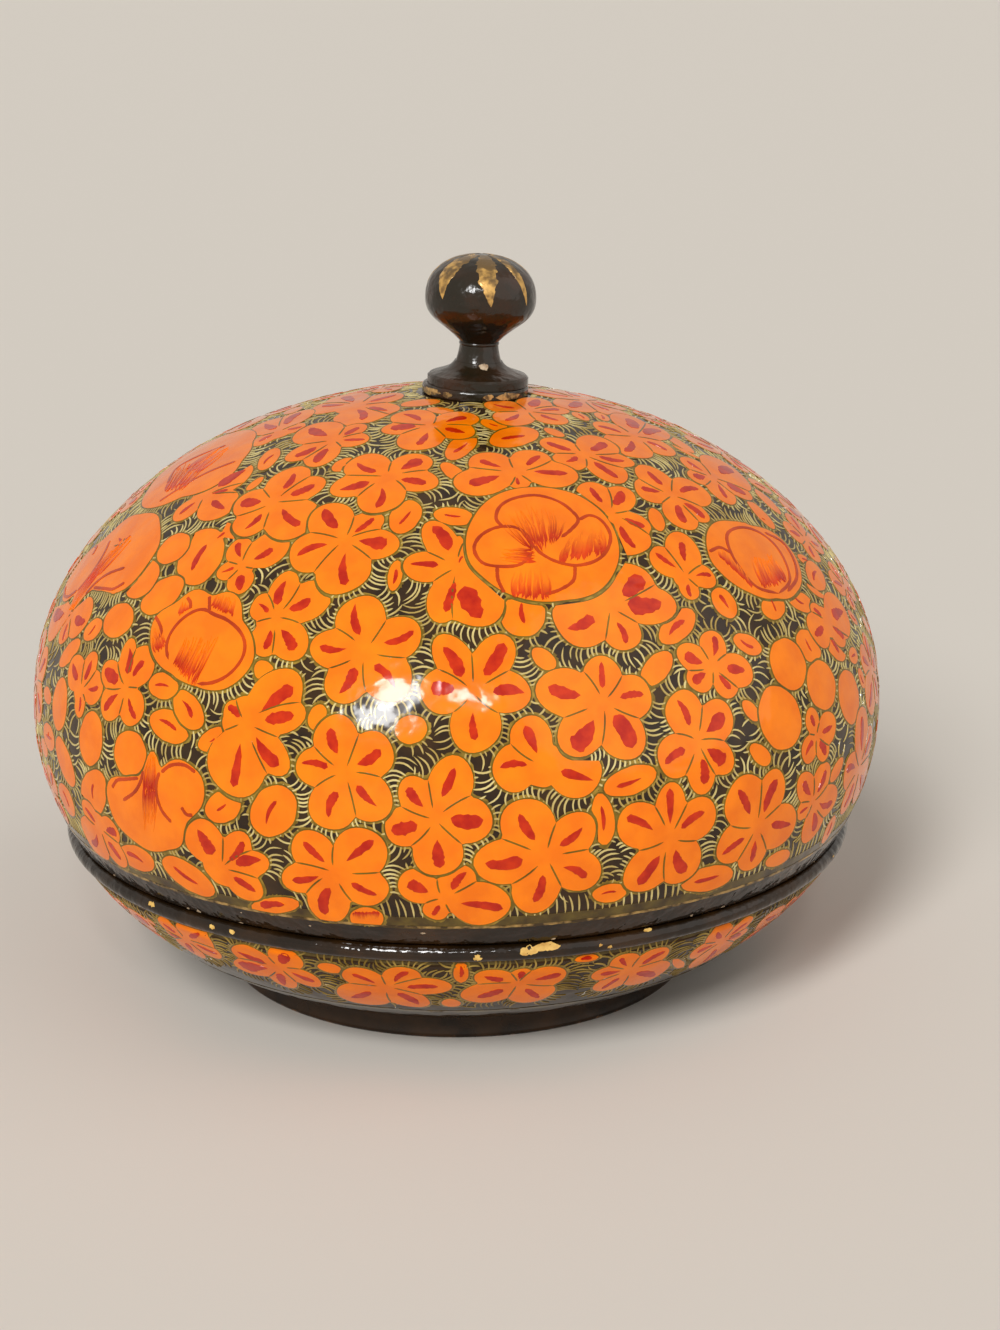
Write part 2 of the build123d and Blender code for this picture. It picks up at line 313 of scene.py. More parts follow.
# (heart, tips of its petals), places in the frame
SHOWN_FLOWERS = [
    ((432, 426), [(399, 413), (475, 416), (474, 436), (412, 450), (381, 431)]),
    ((334, 441), [(364, 425), (369, 440), (312, 467), (286, 461), (306, 428)]),
    ((388, 477), [(427, 457), (437, 485), (377, 513), (331, 492), (352, 460)]),
    ((344, 541), [(321, 507), (380, 514), (398, 548), (344, 595), (290, 561)]),
    ((457, 568), [(428, 523), (403, 566), (440, 622), (487, 626), (474, 538)]),
    ((516, 473), [(471, 458), (543, 453), (577, 476), (520, 490), (456, 489)]),
    ((528, 412), [(486, 404), (502, 424), (566, 424), (567, 410), (540, 399)]),
    ((583, 455), [(541, 441), (608, 441), (635, 464), (626, 483), (558, 467)]),
    ((274, 503), [(298, 467), (325, 481), (307, 533), (237, 536), (236, 503)]),
    ((275, 618), [(291, 572), (335, 588), (300, 658), (262, 656), (255, 600)]),
    ((205, 497), [(252, 467), (233, 490), (229, 513), (173, 521)]),
    ((280, 432), [(251, 447), (262, 424), (303, 411), (306, 427)]),
    ((634, 437), [(593, 425), (628, 416), (663, 430), (675, 455), (622, 455)]),
    ((672, 496), [(633, 488), (640, 466), (705, 490), (709, 523), (686, 530)]),
    ((610, 514), [(586, 483), (625, 488), (651, 530), (639, 556)]),
    ((686, 577), [(680, 534), (714, 576), (690, 595), (650, 551)]),
    ((610, 608), [(644, 571), (675, 604), (628, 650), (558, 633)]),
    ((365, 652), [(357, 598), (421, 629), (404, 695), (335, 702), (311, 647)]),
    ((473, 692), [(440, 637), (507, 636), (531, 693), (478, 751), (420, 690)]),
    ((345, 772), [(330, 716), (392, 742), (386, 815), (324, 829), (296, 764)]),
    ((603, 702), [(537, 685), (601, 657), (652, 695), (635, 757), (565, 753)]),
    ((543, 765), [(522, 717), (600, 781), (492, 770)]),
    ((435, 819), [(462, 757), (492, 822), (441, 876), (385, 831), (403, 779)]),
    ((126, 687), [(131, 638), (153, 650), (138, 723), (103, 714), (104, 667)]),
    ((82, 690), [(73, 660), (96, 652), (104, 686), (80, 708)]),
    ((245, 722), [(301, 679), (308, 711), (285, 772), (232, 795), (226, 705)]),
    ((222, 868), [(193, 820), (247, 834), (268, 860), (262, 894)]),
    ((335, 872), [(296, 835), (381, 837), (387, 897), (326, 921), (282, 880)]),
    ((443, 898), [(400, 877), (468, 867), (510, 907), (430, 918)]),
    ((546, 856), [(513, 801), (592, 820), (598, 880), (528, 912), (476, 864)]),
    ((669, 838), [(620, 815), (669, 782), (714, 806), (688, 878), (631, 891)]),
    ((756, 826), [(735, 780), (779, 770), (794, 826), (748, 871), (717, 856)]),
    ((697, 741), [(674, 692), (729, 706), (732, 767), (702, 794), (660, 768)]),
    ((712, 668), [(676, 650), (713, 632), (753, 672), (735, 695), (690, 686)]),
    ((358, 406), [(316, 407), (340, 396), (402, 394), (395, 412), (366, 424)]),
    ((242, 566), [(289, 539), (238, 540), (226, 572), (240, 594)]),
    ((712, 478), [(681, 458), (735, 470), (752, 498), (728, 504), (690, 478)]),
    ((123, 543), [(158, 516), (112, 520), (96, 561), (120, 565)]),
    ((72, 613), [(84, 590), (88, 622), (62, 645), (55, 610)]),
    ((816, 735), [(808, 710), (835, 722), (826, 758), (803, 760)]),
    ((826, 622), [(812, 608), (845, 612), (845, 640), (812, 637)]),
    ((812, 802), [(800, 777), (827, 762), (835, 800), (812, 838), (796, 815)]),
    ((101, 828), [(83, 802), (119, 832), (127, 866), (92, 846)]),
]


def sides_at(centre, skin):
    """East, up and outward unit vectors on a skin at a centre."""
    outward = normals_at(centre, skin)
    east = np.cross([0, 0, 1.0], outward)
    east /= np.linalg.norm(east)
    return east, np.cross(outward, east), outward


def laid_flat(points, centre, skin):
    """Points of a skin, seen from its hub, on the plane that touches it at a centre.

    They come as complex numbers, east along the real axis and up along the imaginary one.
    """
    hub = skin[0]
    east, up, outward = sides_at(centre, skin)
    sight = points - hub
    away = sight * (((centre - hub) @ outward) / (sight @ outward))[..., None] - (centre - hub)
    return away @ east + 1j * (away @ up)


def laid_on(flat, centre, skin, lift=0.0):
    """The reverse: a flat drawing carried from the touching plane on to the skin."""
    east, up, _ = sides_at(centre, skin)
    return settled(centre + flat.real[..., None] * east + flat.imag[..., None] * up, skin, lift)


def cross(first, second):
    """How far two flat vectors turn from one to the other: the area that they span."""
    return (np.conj(first) * second).imag


def oval_reach(turn, middle, half_length, half_width):
    """Distance from the heart, along each turn, to the far side of an oval; 0 where it is missed.

    The oval is a unit circle pulled out to two half-axes.  The ray is carried back to that circle,
    where the larger root of its quadratic is the far side.
    """
    area = cross(half_length, half_width)
    ray = np.exp(1j * turn)
    ray = cross(ray, half_width) / area + 1j * cross(half_length, ray) / area
    start = cross(-middle, half_width) / area + 1j * cross(half_length, -middle) / area
    slope = (ray * np.conj(start)).real
    root = slope ** 2 - abs(ray) ** 2 * (abs(start) ** 2 - 1)
    return np.where(root > 0, (np.sqrt(np.maximum(root, 0)) - slope) / abs(ray) ** 2, 0).clip(0)


def wobble(turn, size):
    """A hand's unevenness round an outline: a few slow waves with chance phases."""
    waves = np.array([2, 3, 5, 8])[:, None]
    phases = chance.uniform(0, 2 * math.pi, (4, 1))
    return 1 + size * np.sin(waves * turn + phases).mean(0)


def flower(centre, tips):
    """A flower's outline, its petals' tips in order, and the turns of the notches between them.

    The outline is the farthest of its petals' ovals at each turn, and never nearer than the core.
    """
    tips = tips[np.argsort(np.angle(tips))]
    tips *= np.clip(abs(tips), TIP_LEAST, TIP_MOST) / abs(tips)
    following = np.angle(np.roll(tips, -1) / tips) % (2 * math.pi)
    room = (following + np.roll(following, 1)) / 2
    share = np.clip(0.53 * np.tan(room.clip(0, 1.5) / 2), PETAL_SLIM, PETAL_BROAD)
    share *= chance.uniform(0.92, 1.08, len(tips))
    rim = np.full(TURNS, CORE * abs(tips).mean())
    for tip, width in zip(tips, share):
        petal = oval_reach(TURN, PETAL_MIDDLE * tip, PETAL_HALF * tip, 1j * width * tip)
        rim = np.maximum(rim, petal)
    rim *= wobble(TURN, 0.05)
    return {"centre": centre, "rim": rim, "tips": tips, "gaps": following}


def reach_of(rim, turn):
    """An outline's reach at any turn, between its stored turns."""
    place = (np.asarray(turn) / (2 * math.pi) * TURNS) % TURNS
    low = np.floor(place).astype(int) % TURNS
    part = place - np.floor(place)
    return rim[low] * (1 - part) + rim[(low + 1) % TURNS] * part


def flower_at(heart, tips, skin):
    """A flower read from its heart and the tips of its petals in the frame."""
    centre = seen_at(heart, skin)
    return flower(centre, laid_flat(seen_at(tips, skin), centre, skin))


flowers = [flower_at(heart, tips, dome) for heart, tips in SHOWN_FLOWERS]

# Buds and loose petals: single ovals that fill the gaps between the flowers.
# (one end, other end, width across, whether it has a red stroke), places in the frame
SHOWN_BUDS = [
    ((392, 532), (417, 504), 27, True),
    ((432, 514), (473, 519), 17, True),
    ((445, 458), (475, 438), 19, True),
    ((488, 441), (537, 434), 19, True),
    ((479, 421), (508, 430), 9, True),
    ((392, 592), (398, 562), 14, True),
    ((520, 592), (526, 635), 44, True),
    ((440, 464), (464, 479), 13, False),
    ((331, 470), (355, 461), 11, False),
    ((660, 643), (692, 612), 27, True),
    ((714, 588), (733, 616), 20, True),
    ((602, 791), (655, 772), 27, True),
    ((600, 792), (605, 844), 23, True),
    ((591, 896), (626, 890), 18, True),
    ((680, 886), (732, 872), 24, True),
    ((207, 818), (237, 797), 31, True),
    ((262, 837), (283, 789), 44, True),
    ((148, 684), (177, 687), 27, True),
    ((177, 690), (198, 728), 26, True),
    ((150, 714), (186, 737), 30, True),
    ((198, 749), (227, 731), 20, True),
    ((119, 848), (152, 867), 22, True),
    ((161, 857), (211, 893), 24, True),
    ((258, 470), (279, 450), 13, True),
    ((85, 641), (100, 620), 13, True),
    ((94, 768), (94, 815), 27, True),
    ((312, 730), (322, 706), 17, False),
    ((258, 661), (270, 681), 19, False),
    ((532, 649), (554, 668), 17, False),
    ((642, 686), (669, 654), 24, False),
    ((780, 637), (796, 688), 32, False),
    ((817, 659), (826, 708), 26, False),
    ((773, 684), (787, 748), 39, False),
    ((743, 700), (757, 720), 12, False),
    ((751, 744), (768, 764), 16, False),
    ((733, 636), (760, 652), 17, True),
    ((395, 736), (425, 724), 28, False),
    ((92, 710), (90, 764), 24, False),
    ((62, 676), (58, 729), 15, False),
    ((60, 668), (78, 640), 11, False),
    ((130, 566), (160, 537), 21, False),
    ((158, 563), (187, 536), 21, False),
    ((128, 598), (155, 563), 24, False),
    ((141, 613), (180, 580), 25, False),
    ((100, 603), (131, 577), 20, False),
    ((107, 637), (128, 606), 25, False),
    ((184, 585), (215, 531), 38, True),
    ((210, 545), (233, 527), 24, True),
    ((768, 594), (778, 618), 22, True),
    ((786, 592), (812, 610), 16, True),
    ((650, 508), (662, 530), 13, False),
    ((728, 513), (764, 542), 20, False),
    ((800, 629), (816, 661), 20, True),
    ((826, 632), (843, 660), 14, True),
    ((765, 865), (789, 852), 13, False),
    ((846, 668), (852, 722), 18, False),
    ((57, 735), (72, 785), 13, False),
    ((60, 782), (73, 815), 11, True),
    ((249, 907), (297, 904), 16, True),
    ((128, 729), (132, 777), 33, False),
]


def bud(centre, half_length, half_width, has_stroke):
    """A single oval round its own middle, a little fuller at one end."""
    rim = oval_reach(TURN, 0, half_length, half_width)
    rim *= 1 + 0.07 * np.cos(TURN - np.angle(half_length))
    rim *= wobble(TURN, 0.04)
    tips = np.array([half_length * 1.15]) if has_stroke else np.array([])
    return {"centre": centre, "rim": rim, "tips": tips, "gaps": None}


def bud_at(one_end, other_end, width, has_stroke, skin):
    """A bud read from its two ends and its width in the frame."""
    one_end, other_end = np.array(one_end), np.array(other_end)
    middle = (one_end + other_end) / 2
    along = (other_end - one_end) / np.linalg.norm(other_end - one_end)
    beside = middle + np.array([along[1], -along[0]]) * width / 2
    centre = seen_at(middle, skin)
    ends = laid_flat(seen_at([one_end, other_end], skin), centre, skin)
    half_width = laid_flat(seen_at(beside, skin), centre, skin)
    return bud(centre, (ends[1] - ends[0]) / 2, half_width, has_stroke)


buds = [bud_at(*placed, dome) for placed in SHOWN_BUDS]

# Roses and the tulip: large flowers drawn with red-brown inner lines and blushed with dry red
# brush strokes.  (heart, outline, inner lines, blushes), places in the frame; a blush is its root
# line, the line that its strokes reach to, and how many there are.
SHOWN_ROSES = {
    "open_rose": (
        (545, 546),
        [(466, 545), (474, 518), (500, 494), (540, 488), (576, 495), (602, 513), (617, 540),
         (614, 572), (596, 593), (565, 600), (528, 600), (500, 590), (484, 578), (470, 564)],
        [
            [(503, 528), (496, 519), (500, 507), (514, 499), (536, 496), (558, 502), (572, 512),
             (578, 521), (570, 531), (561, 538)],
            [(533, 550), (527, 536), (515, 528), (497, 528), (481, 536), (474, 549), (482, 563),
             (500, 567), (520, 565), (532, 554)],
            [(578, 521), (589, 516), (601, 521), (610, 535), (607, 550), (596, 561), (576, 566),
             (556, 562), (541, 554), (534, 546)],
            [(497, 567), (498, 580), (504, 593)],
            [(575, 567), (573, 581), (560, 590), (545, 595)],
        ],
        [
            ((526, 547), (541, 548), (498, 521), (528, 505), 14),
            ((541, 548), (558, 540), (528, 505), (567, 519), 16),
            ((533, 563), (531, 550), (501, 560), (505, 549), 12),
            ((560, 563), (604, 553), (572, 531), (602, 524), 20),
            ((513, 597), (551, 598), (516, 569), (547, 567), 16),
        ],
    ),
    "round_rose": (
        (206, 648),
        [(155, 658), (151, 642), (152, 627), (155, 617), (166, 609), (177, 604), (185, 596),
         (194, 590), (204, 590), (210, 597), (217, 596), (225, 592), (235, 594), (241, 601),
         (242, 612), (242, 621), (250, 632), (254, 647), (254, 660), (247, 672), (237, 682),
         (225, 689), (210, 690), (197, 686), (185, 682), (172, 673), (161, 666)],
        [
            [(169, 660), (167, 647), (171, 634), (181, 621), (194, 612), (205, 610), (215, 615),
             (227, 620), (239, 630), (245, 642), (244, 655), (237, 667), (226, 677), (212, 683),
             (197, 684)],
            [(188, 598), (191, 603), (191, 609)],
            [(210, 597), (210, 603), (210, 611)],
            [(156, 617), (160, 624), (162, 632), (158, 641)],
        ],
        [
            ((174, 664), (196, 684), (184, 640), (216, 640), 30),
            ((212, 607), (233, 616), (219, 594), (236, 600), 16),
            ((156, 654), (166, 644), (152, 630), (162, 630), 12),
            ((179, 616), (189, 610), (182, 603), (190, 603), 8),
        ],
    ),
    "tulip": (
        (157, 805),
        [(107, 790), (109, 781), (113, 776), (126, 778), (139, 777), (144, 771), (147, 762),
         (150, 751), (155, 750), (159, 762), (160, 772), (163, 768), (170, 761), (180, 759),
         (192, 766), (202, 776), (205, 790), (203, 805), (194, 815), (187, 821), (184, 831),
         (182, 845), (169, 849), (160, 851), (147, 849), (137, 842), (127, 834), (116, 822),
         (110, 805)],
        [
            [(144, 771), (141, 782), (135, 792), (124, 800)],
            [(113, 787), (118, 780), (126, 779), (139, 778)],
            [(160, 772), (157, 784), (158, 798), (163, 811), (172, 822)],
            [(162, 772), (172, 765), (185, 765), (196, 772)],
            [(182, 807), (187, 814), (193, 815)],
        ],
        [
            ((145, 788), (157, 788), (150, 756), (156, 756), 14),
            ((144, 786), (157, 786), (145, 826), (155, 828), 12),
        ],
    ),
    "left_rose": (
        (199, 471),
        [(143, 507), (150, 489), (170, 467), (200, 447), (228, 435), (252, 431), (252, 443),
         (242, 461), (230, 477), (210, 489), (182, 497), (158, 507)],
        [
            [(168, 484), (178, 468), (200, 456), (226, 446)],
            [(160, 502), (180, 489), (206, 474), (236, 462)],
        ],
        [
            ((166, 490), (186, 488), (180, 466), (212, 462), 18),
            ((186, 470), (196, 476), (222, 446), (228, 452), 10),
        ],
    ),
    "rim_bud": (
        (367, 919),
        [(351, 913), (357, 909), (375, 909), (382, 913), (380, 925), (374, 933), (367, 937),
         (358, 931), (352, 922)],
        [],
        [((354, 911), (379, 911), (355, 919), (378, 919), 9)],
    ),
    "right_rose": (
        (757, 562),
        [(706, 541), (713, 524), (731, 522), (752, 527), (776, 535), (794, 555), (801, 577),
         (796, 592), (776, 598), (750, 593), (728, 580), (711, 562)],
        [
            [(778, 594), (757, 588), (741, 571), (729, 550), (727, 534), (740, 528), (757, 532),
             (774, 545), (785, 563), (789, 582), (778, 594)],
            [(764, 533), (782, 543), (793, 560), (796, 578), (787, 592)],
            [(709, 552), (719, 548), (730, 553)],
        ],
        [
            ((762, 588), (786, 580), (752, 560), (772, 556), 22),
            ((722, 560), (752, 588), (716, 545), (746, 572), 12),
        ],
    ),
}


def smooth_rim(outline):
    """Reach at each turn of a closed outline through placed points, its corners rounded off."""
    order = np.argsort(np.angle(outline))
    rim = np.interp(TURN, np.angle(outline)[order], abs(outline)[order], period=2 * math.pi)
    return (np.roll(rim, 1) + 2 * rim + np.roll(rim, -1)) / 4


def through(points, steps):
    """A smooth line through placed points: cubic between two, its slopes from their neighbours."""
    ends = np.concatenate([[2 * points[0] - points[1]], points, [2 * points[-1] - points[-2]]])
    place = np.linspace(0, len(points) - 1, steps)
    low = np.minimum(place.astype(int), len(points) - 2)
    part = place - low
    before, start, end, after = (ends[low + n] for n in range(4))
    return 0.5 * (
        2 * start
        + (end - before) * part
        + (2 * before - 5 * start + 4 * end - after) * part ** 2
        + (3 * start - before - 3 * end + after) * part ** 3
    )


roses = []
for heart, outline, lines, blushes in SHOWN_ROSES.values():
    centre = seen_at(heart, dome)
    roses.append({
        "centre": centre,
        "rim": smooth_rim(laid_flat(seen_at(outline, dome), centre, dome)),
        "lines": [laid_flat(seen_at(line, dome), centre, dome) for line in lines],
        "blushes": [
            (laid_flat(seen_at(corners, dome), centre, dome), strokes)
            for *corners, strokes in blushes
        ],
    })

# Round the back the painter went on in the same way: six more roses and tulips like those in
# front, then flowers and buds set one after another into the tightest place that still takes them.
# (which rose, compass turn and height of its heart, its own turn)
BACK_ROSES = [
    ("open_rose", 62, 0.068, 200),
    ("round_rose", 98, 0.045, 60),
    ("right_rose", 132, 0.072, 290),
    ("tulip", 22, 0.047, 10),
    ("open_rose", 160, 0.050, 100),
    ("tulip", 200, 0.066, 180),
]
BACK_ROSE_SIZE = 0.0098               # mean radius of each
ROOM_SIZES = [(0.0078, 0.0066), (0.0048, 0.0036), (0.0029, 0.0019)]   # largest and smallest radius
BUD_LARGEST = 0.0029                  # a circle up to this size takes a bud, a larger one a flower
SPARE_SIZES = [(0.0023, 0.0013)]      # then for buds, in the room that the flowers' notches leave
PAINT_GAP = 0.0011                    # ground left bare between one motif and the next
MARGIN_HEIGHT = 0.0305                # these motifs end about this high, above the rim's margin
DISC_CLEAR = 0.0092                   # and this far from the middle of the knob's disc
TRIAL_POINTS = 9000                   # places that are tried, from below the margin to the crown
TRIAL_LOW, TRIAL_HIGH = -0.35, 0.999  # sines of their elevations
TURNED_AWAY = 0.17                    # spare buds only where the camera is less far over the paint
ON_DOME = 0.05                        # from the axis or the hub to the dome, near enough
GAP_MOST = 0.012                      # wider gaps aren't measured
NEIGHBOUR_NEAR, NEIGHBOUR_FAR = 1e-5, 0.03   # a neighbour's distance, its own middle left out
FIVE_PETALS = 0.0045                  # a flower on a larger circle than this has five, others four

disc_low, disc_high = (np.array(corner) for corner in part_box("knob_seat_disc"))
disc_middle = settled((disc_low + disc_high) / 2, dome)


def spot_on(skin, turn, reach, height):
    """The point of a skin that lies in line, from its hub, with a turn, reach and height."""
    return settled(np.array([reach * math.cos(turn), reach * math.sin(turn), height]), skin)


by_name = dict(zip(SHOWN_ROSES, roses))
for which, turn, height, own_turn in BACK_ROSES:
    pattern = by_name[which]
    spin = np.exp(1j * math.radians(own_turn))
    scale = BACK_ROSE_SIZE / pattern["rim"].mean()
    roses.append({
        "centre": spot_on(dome, math.radians(turn), ON_DOME, height),
        "rim": np.roll(pattern["rim"], round(own_turn / 360 * TURNS)) * scale,
        "lines": [line * spin * scale for line in pattern["lines"]],
        "blushes": [(corners * spin * scale, n) for corners, n in pattern["blushes"]],
    })


def gaps_to(motif, points, skin):
    """How far points lie outside a motif's outline, and infinity for the ones a long way off."""
    east, up, _ = sides_at(motif["centre"], skin)
    away = points - motif["centre"]
    gap = np.full(points.shape[:-1], np.inf)
    near = (away ** 2).sum(-1) < (motif["rim"].max() + GAP_MOST) ** 2
    flat = away[near] @ east + 1j * (away[near] @ up)
    gap[near] = np.linalg.norm(away[near], axis=-1) - reach_of(motif["rim"], np.angle(flat))
    return gap


elevations = np.arcsin(chance.uniform(TRIAL_LOW, TRIAL_HIGH, TRIAL_POINTS))
turns = chance.uniform(0, 2 * math.pi, TRIAL_POINTS)
trial = settled(dome[0] + ON_DOME * direction(elevations, turns), dome)
trial = trial[trial[:, 2] > MARGIN_HEIGHT]


def room_beside(motifs, points):
    """How large a circle each point of the lid could take, clear of the disc and these motifs."""
    room = np.linalg.norm(points - disc_middle, axis=1) - DISC_CLEAR
    for motif in motifs:
        room = np.minimum(room, gaps_to(motif, points, dome) - PAINT_GAP)
    return room


def packed_in(points, room, sizes):
    """Circles, as middles and radii, set one after another into the tightest room for them."""
    circles = []
    for most, least in sizes:
        while (room > least).any():
            tightest = np.where(room > least, abs(room - (most + least) / 2), np.inf).argmin()
            size = min(room[tightest], most, points[tightest, 2] - MARGIN_HEIGHT + 0.2 * most)
            size = max(size, least)
            circles.append((points[tightest], size))
            gap = np.linalg.norm(points - points[tightest], axis=1) - size - PAINT_GAP
            room = np.minimum(room, gap)
    return circles


circles = packed_in(trial, room_beside(flowers + buds + roses, trial), ROOM_SIZES)
back_flowers = [circle for circle in circles if circle[1] > BUD_LARGEST]
back_buds = [circle for circle in circles if circle[1] <= BUD_LARGEST]
places = np.array([place for place, _ in circles])
sizes = np.array([size for _, size in circles])


def open_reach(place, size, bearings):
    """How far a motif may grow along flat bearings: up to the line where its neighbours take over.

    Between two circles that line joins the points whose distances from the two middles, each
    squared and less its own circle's radius squared, are the same.
    """
    away = laid_flat(places, place, dome)
    near = (abs(away) > NEIGHBOUR_NEAR) & (abs(away) < NEIGHBOUR_FAR)
    distance, heading = abs(away[near]), np.angle(away[near])
    middle = (distance ** 2 + size ** 2 - sizes[near] ** 2) / (2 * distance)
    facing = np.cos(bearings[:, None] - heading)
    reach = np.where(facing > 0.1, middle / np.maximum(facing, 0.1), np.inf).min(1)
    return np.clip(reach - PAINT_GAP / 2, 0.8 * size, 1.3 * size)


for place, size in back_flowers:
    petals = 5 if size > FIVE_PETALS else 4
    bearings = chance.uniform(0, 2 * math.pi) + np.arange(petals) * 2 * math.pi / petals
    bearings += chance.uniform(-0.16, 0.16, petals)
    flowers.append(flower(place, open_reach(place, size, bearings) * np.exp(1j * bearings)))
camera_height = (normals_at(trial, dome) * (CAMERA_PLACE - trial)).sum(1)
spare = trial[camera_height < TURNED_AWAY]
back_buds += packed_in(spare, room_beside(flowers + buds + roses, spare), SPARE_SIZES)
for place, size in back_buds:
    bearing = np.exp(1j * chance.uniform(0, 2 * math.pi))
    width = chance.uniform(0.6, 0.85)
    has_stroke = chance.random() < 0.6
    buds.append(bud(place, 1.25 * size * bearing, 1j * width * size * bearing, has_stroke))

TOUCHING_GAP = 0.00034                # between the outlines of motifs that touch
FIELD_LOW, FIELD_HIGH = 0.0282, 1.0   # the lid's motifs keep between these heights; 1.0 is no limit


def drawn_in(motif, others, skin):
    """Draws a motif's outline in, where it would run over others, to leave a line between them."""
    share = np.linspace(0.25, 1, 24)[:, None]
    points = laid_on(share * motif["rim"] * np.exp(1j * TURN), motif["centre"], skin)
    gap = np.full(points.shape[:2], 1.0)
    for other in others:
        gap = np.minimum(gap, gaps_to(other, points, skin) - TOUCHING_GAP)
    first = np.clip((gap < 0).argmax(0), 1, None)
    before, after = gap[first - 1, range(TURNS)], gap[first, range(TURNS)]
    part = np.clip(before / np.where(before == after, 1, before - after), 0, 1)
    limit = share[first - 1, 0] + part * (share[1, 0] - share[0, 0])
    motif["rim"] = motif["rim"] * np.where((gap < 0).any(0), limit, 1)
    reach = reach_of(motif["rim"], np.angle(motif["tips"]))
    motif["tips"] = motif["tips"] * np.minimum(1, reach / abs(motif["tips"]))


def held_between(motif, low, high, skin):
    """Draws a motif's outline in wherever it would pass below or above a height."""
    heart = motif["centre"][2]
    rise = laid_on(motif["rim"] * np.exp(1j * TURN), motif["centre"], skin)[:, 2] - heart
    rise = np.where(abs(rise) < 1e-6, 1e-6, rise)
    room = np.where(rise > 0, high - heart, low - heart)
    motif["rim"] = motif["rim"] * np.minimum(1, room / rise)


def set_apart(motifs, first, low, high, skin):
    """Holds motifs between two heights, and draws in each from the first on to clear the earlier."""
    for number, motif in enumerate(motifs):
        held_between(motif, low, high, skin)
        if number >= first:
            drawn_in(motif, motifs[:number], skin)


motifs = roses + flowers + buds
set_apart(motifs, len(roses), FIELD_LOW, FIELD_HIGH, dome)


def grid_faces(grids, rows, columns, closed=False):
    """Corner numbers of the four-sided faces of equal grids that follow one another in a list.

    A grid's columns run to the left of its rows' way, so that its faces look outwards.
    """
    row, column = np.mgrid[0 : rows - 1, 0 : columns if closed else columns - 1]
    following = (column + 1) % columns
    face = np.stack(
        [
            row * columns + column,
            (row + 1) * columns + column,
            (row + 1) * columns + following,
            row * columns + following,
        ],
        axis=-1,
    ).reshape(-1, 4)
    return (face + np.arange(grids)[:, None, None] * rows * columns).reshape(-1, 4)


def painted(name, body, slot, material, corners, faces):
    """A piece of paint work: one mesh, smooth but for its edges, riding on a body."""
    mesh = bpy.data.meshes.new(name)
    mesh.from_pydata(corners.reshape(-1, 3).tolist(), [], faces)
    mesh.shade_smooth()
    mesh.set_sharp_from_angle(angle=math.radians(35))
    mesh.materials.append(material)
    piece = bpy.data.objects.new(name, mesh)
    bpy.context.scene.collection.objects.link(piece)
    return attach(piece, body)


def filled(motifs, skin, lift, rings=3, skip=1):
    """Corners and faces of motifs filled to their outlines: rings round a middle, edge turned down.

    A small motif makes do with fewer points of its outline, each second or sixth by skip.
    """
    rims = np.array([motif["rim"][::skip] for motif in motifs])
    count = rims.shape[1]
    share = np.append(np.arange(1, rings + 1) / rings, 1.0)
    lifts = np.append(np.full(rings, lift), PAINT_SUNK)
    flat = share[None, :, None] * (rims * np.exp(1j * TURN[::skip]))[:, None, :]
    corners = np.array([
        laid_on(drawing, motif["centre"], skin, np.repeat(lifts[:, None], count, 1))
        for drawing, motif in zip(flat, motifs)
    ])
    middles = np.array([laid_on(np.zeros(1), m["centre"], skin, np.array([lift])) for m in motifs])
    faces = grid_faces(len(motifs), rings + 1, count, closed=True).tolist()
    first = np.arange(len(motifs))[:, None] * (rings + 1) * count
    column = np.arange(count)
    middle = first * 0 + np.arange(len(motifs))[:, None] + corners.size // 3
    fans = np.stack(
        np.broadcast_arrays(middle, first + column, first + (column + 1) % count), axis=-1
    )
    faces += fans.reshape(-1, 3).tolist()
    return np.concatenate([corners.reshape(-1, 3), middles.reshape(-1, 3)]), faces


def bordered(motifs, skin, inner, outer, lift, ragged=0.0):
    """Corners and faces of a line round each motif, from inner to outer past its outline."""
    corners = []
    for motif in motifs:
        edge = motif["rim"] + outer * (1 + ragged * chance.uniform(-1, 1, TURNS))
        rows = np.array([motif["rim"] + inner, edge, edge]) * np.exp(1j * TURN)
        lifts = np.repeat(np.array([lift, lift, PAINT_SUNK])[:, None], TURNS, 1)
        corners.append(laid_on(rows, motif["centre"], skin, lifts))
    return np.array(corners), grid_faces(len(motifs), 3, TURNS, closed=True).tolist()


petal_paint = varnished("petal_paint", PETAL_ORANGE_DEEP, PETAL_ORANGE)
painted("lid_flowers", "lid", "painted_lid", petal_paint, *filled(flowers, dome, PETAL_LIFT))
painted("lid_buds", "lid", "painted_lid", petal_paint, *filled(buds, dome, BUD_LIFT, 2, 2))
painted("lid_roses", "lid", "painted_lid", petal_paint, *filled(roses, dome, ROSE_LIFT, 5))

# Outlines: a thin dark olive line drawn round every motif, and outside it a broader ragged edge of
# old gold on which the hatching ends.
OLIVE = colour(122, 98, 16)
OLIVE_DARK = colour(92, 74, 12)
OLD_GOLD = colour(158, 128, 46)
OLD_GOLD_DARK = colour(104, 82, 24)
LINE_LIFT = 0.00015
OLIVE_LINE = (-0.00012, 0.00022, 0.00008)   # from and to, past the outline, and its lift
GOLD_LINE = (-0.0001, 0.0005, 0.00005)
olive_paint = varnished("olive_paint", OLIVE_DARK, OLIVE)
old_gold = varnished("old_gold", OLD_GOLD_DARK, OLD_GOLD, patch=0.0015)
painted("lid_outlines", "lid", "painted_lid", olive_paint,
        *bordered(motifs, dome, *OLIVE_LINE, 0.3))
painted("lid_gold_edges", "lid", "painted_lid", old_gold,
        *bordered(motifs, dome, *GOLD_LINE, 0.35))


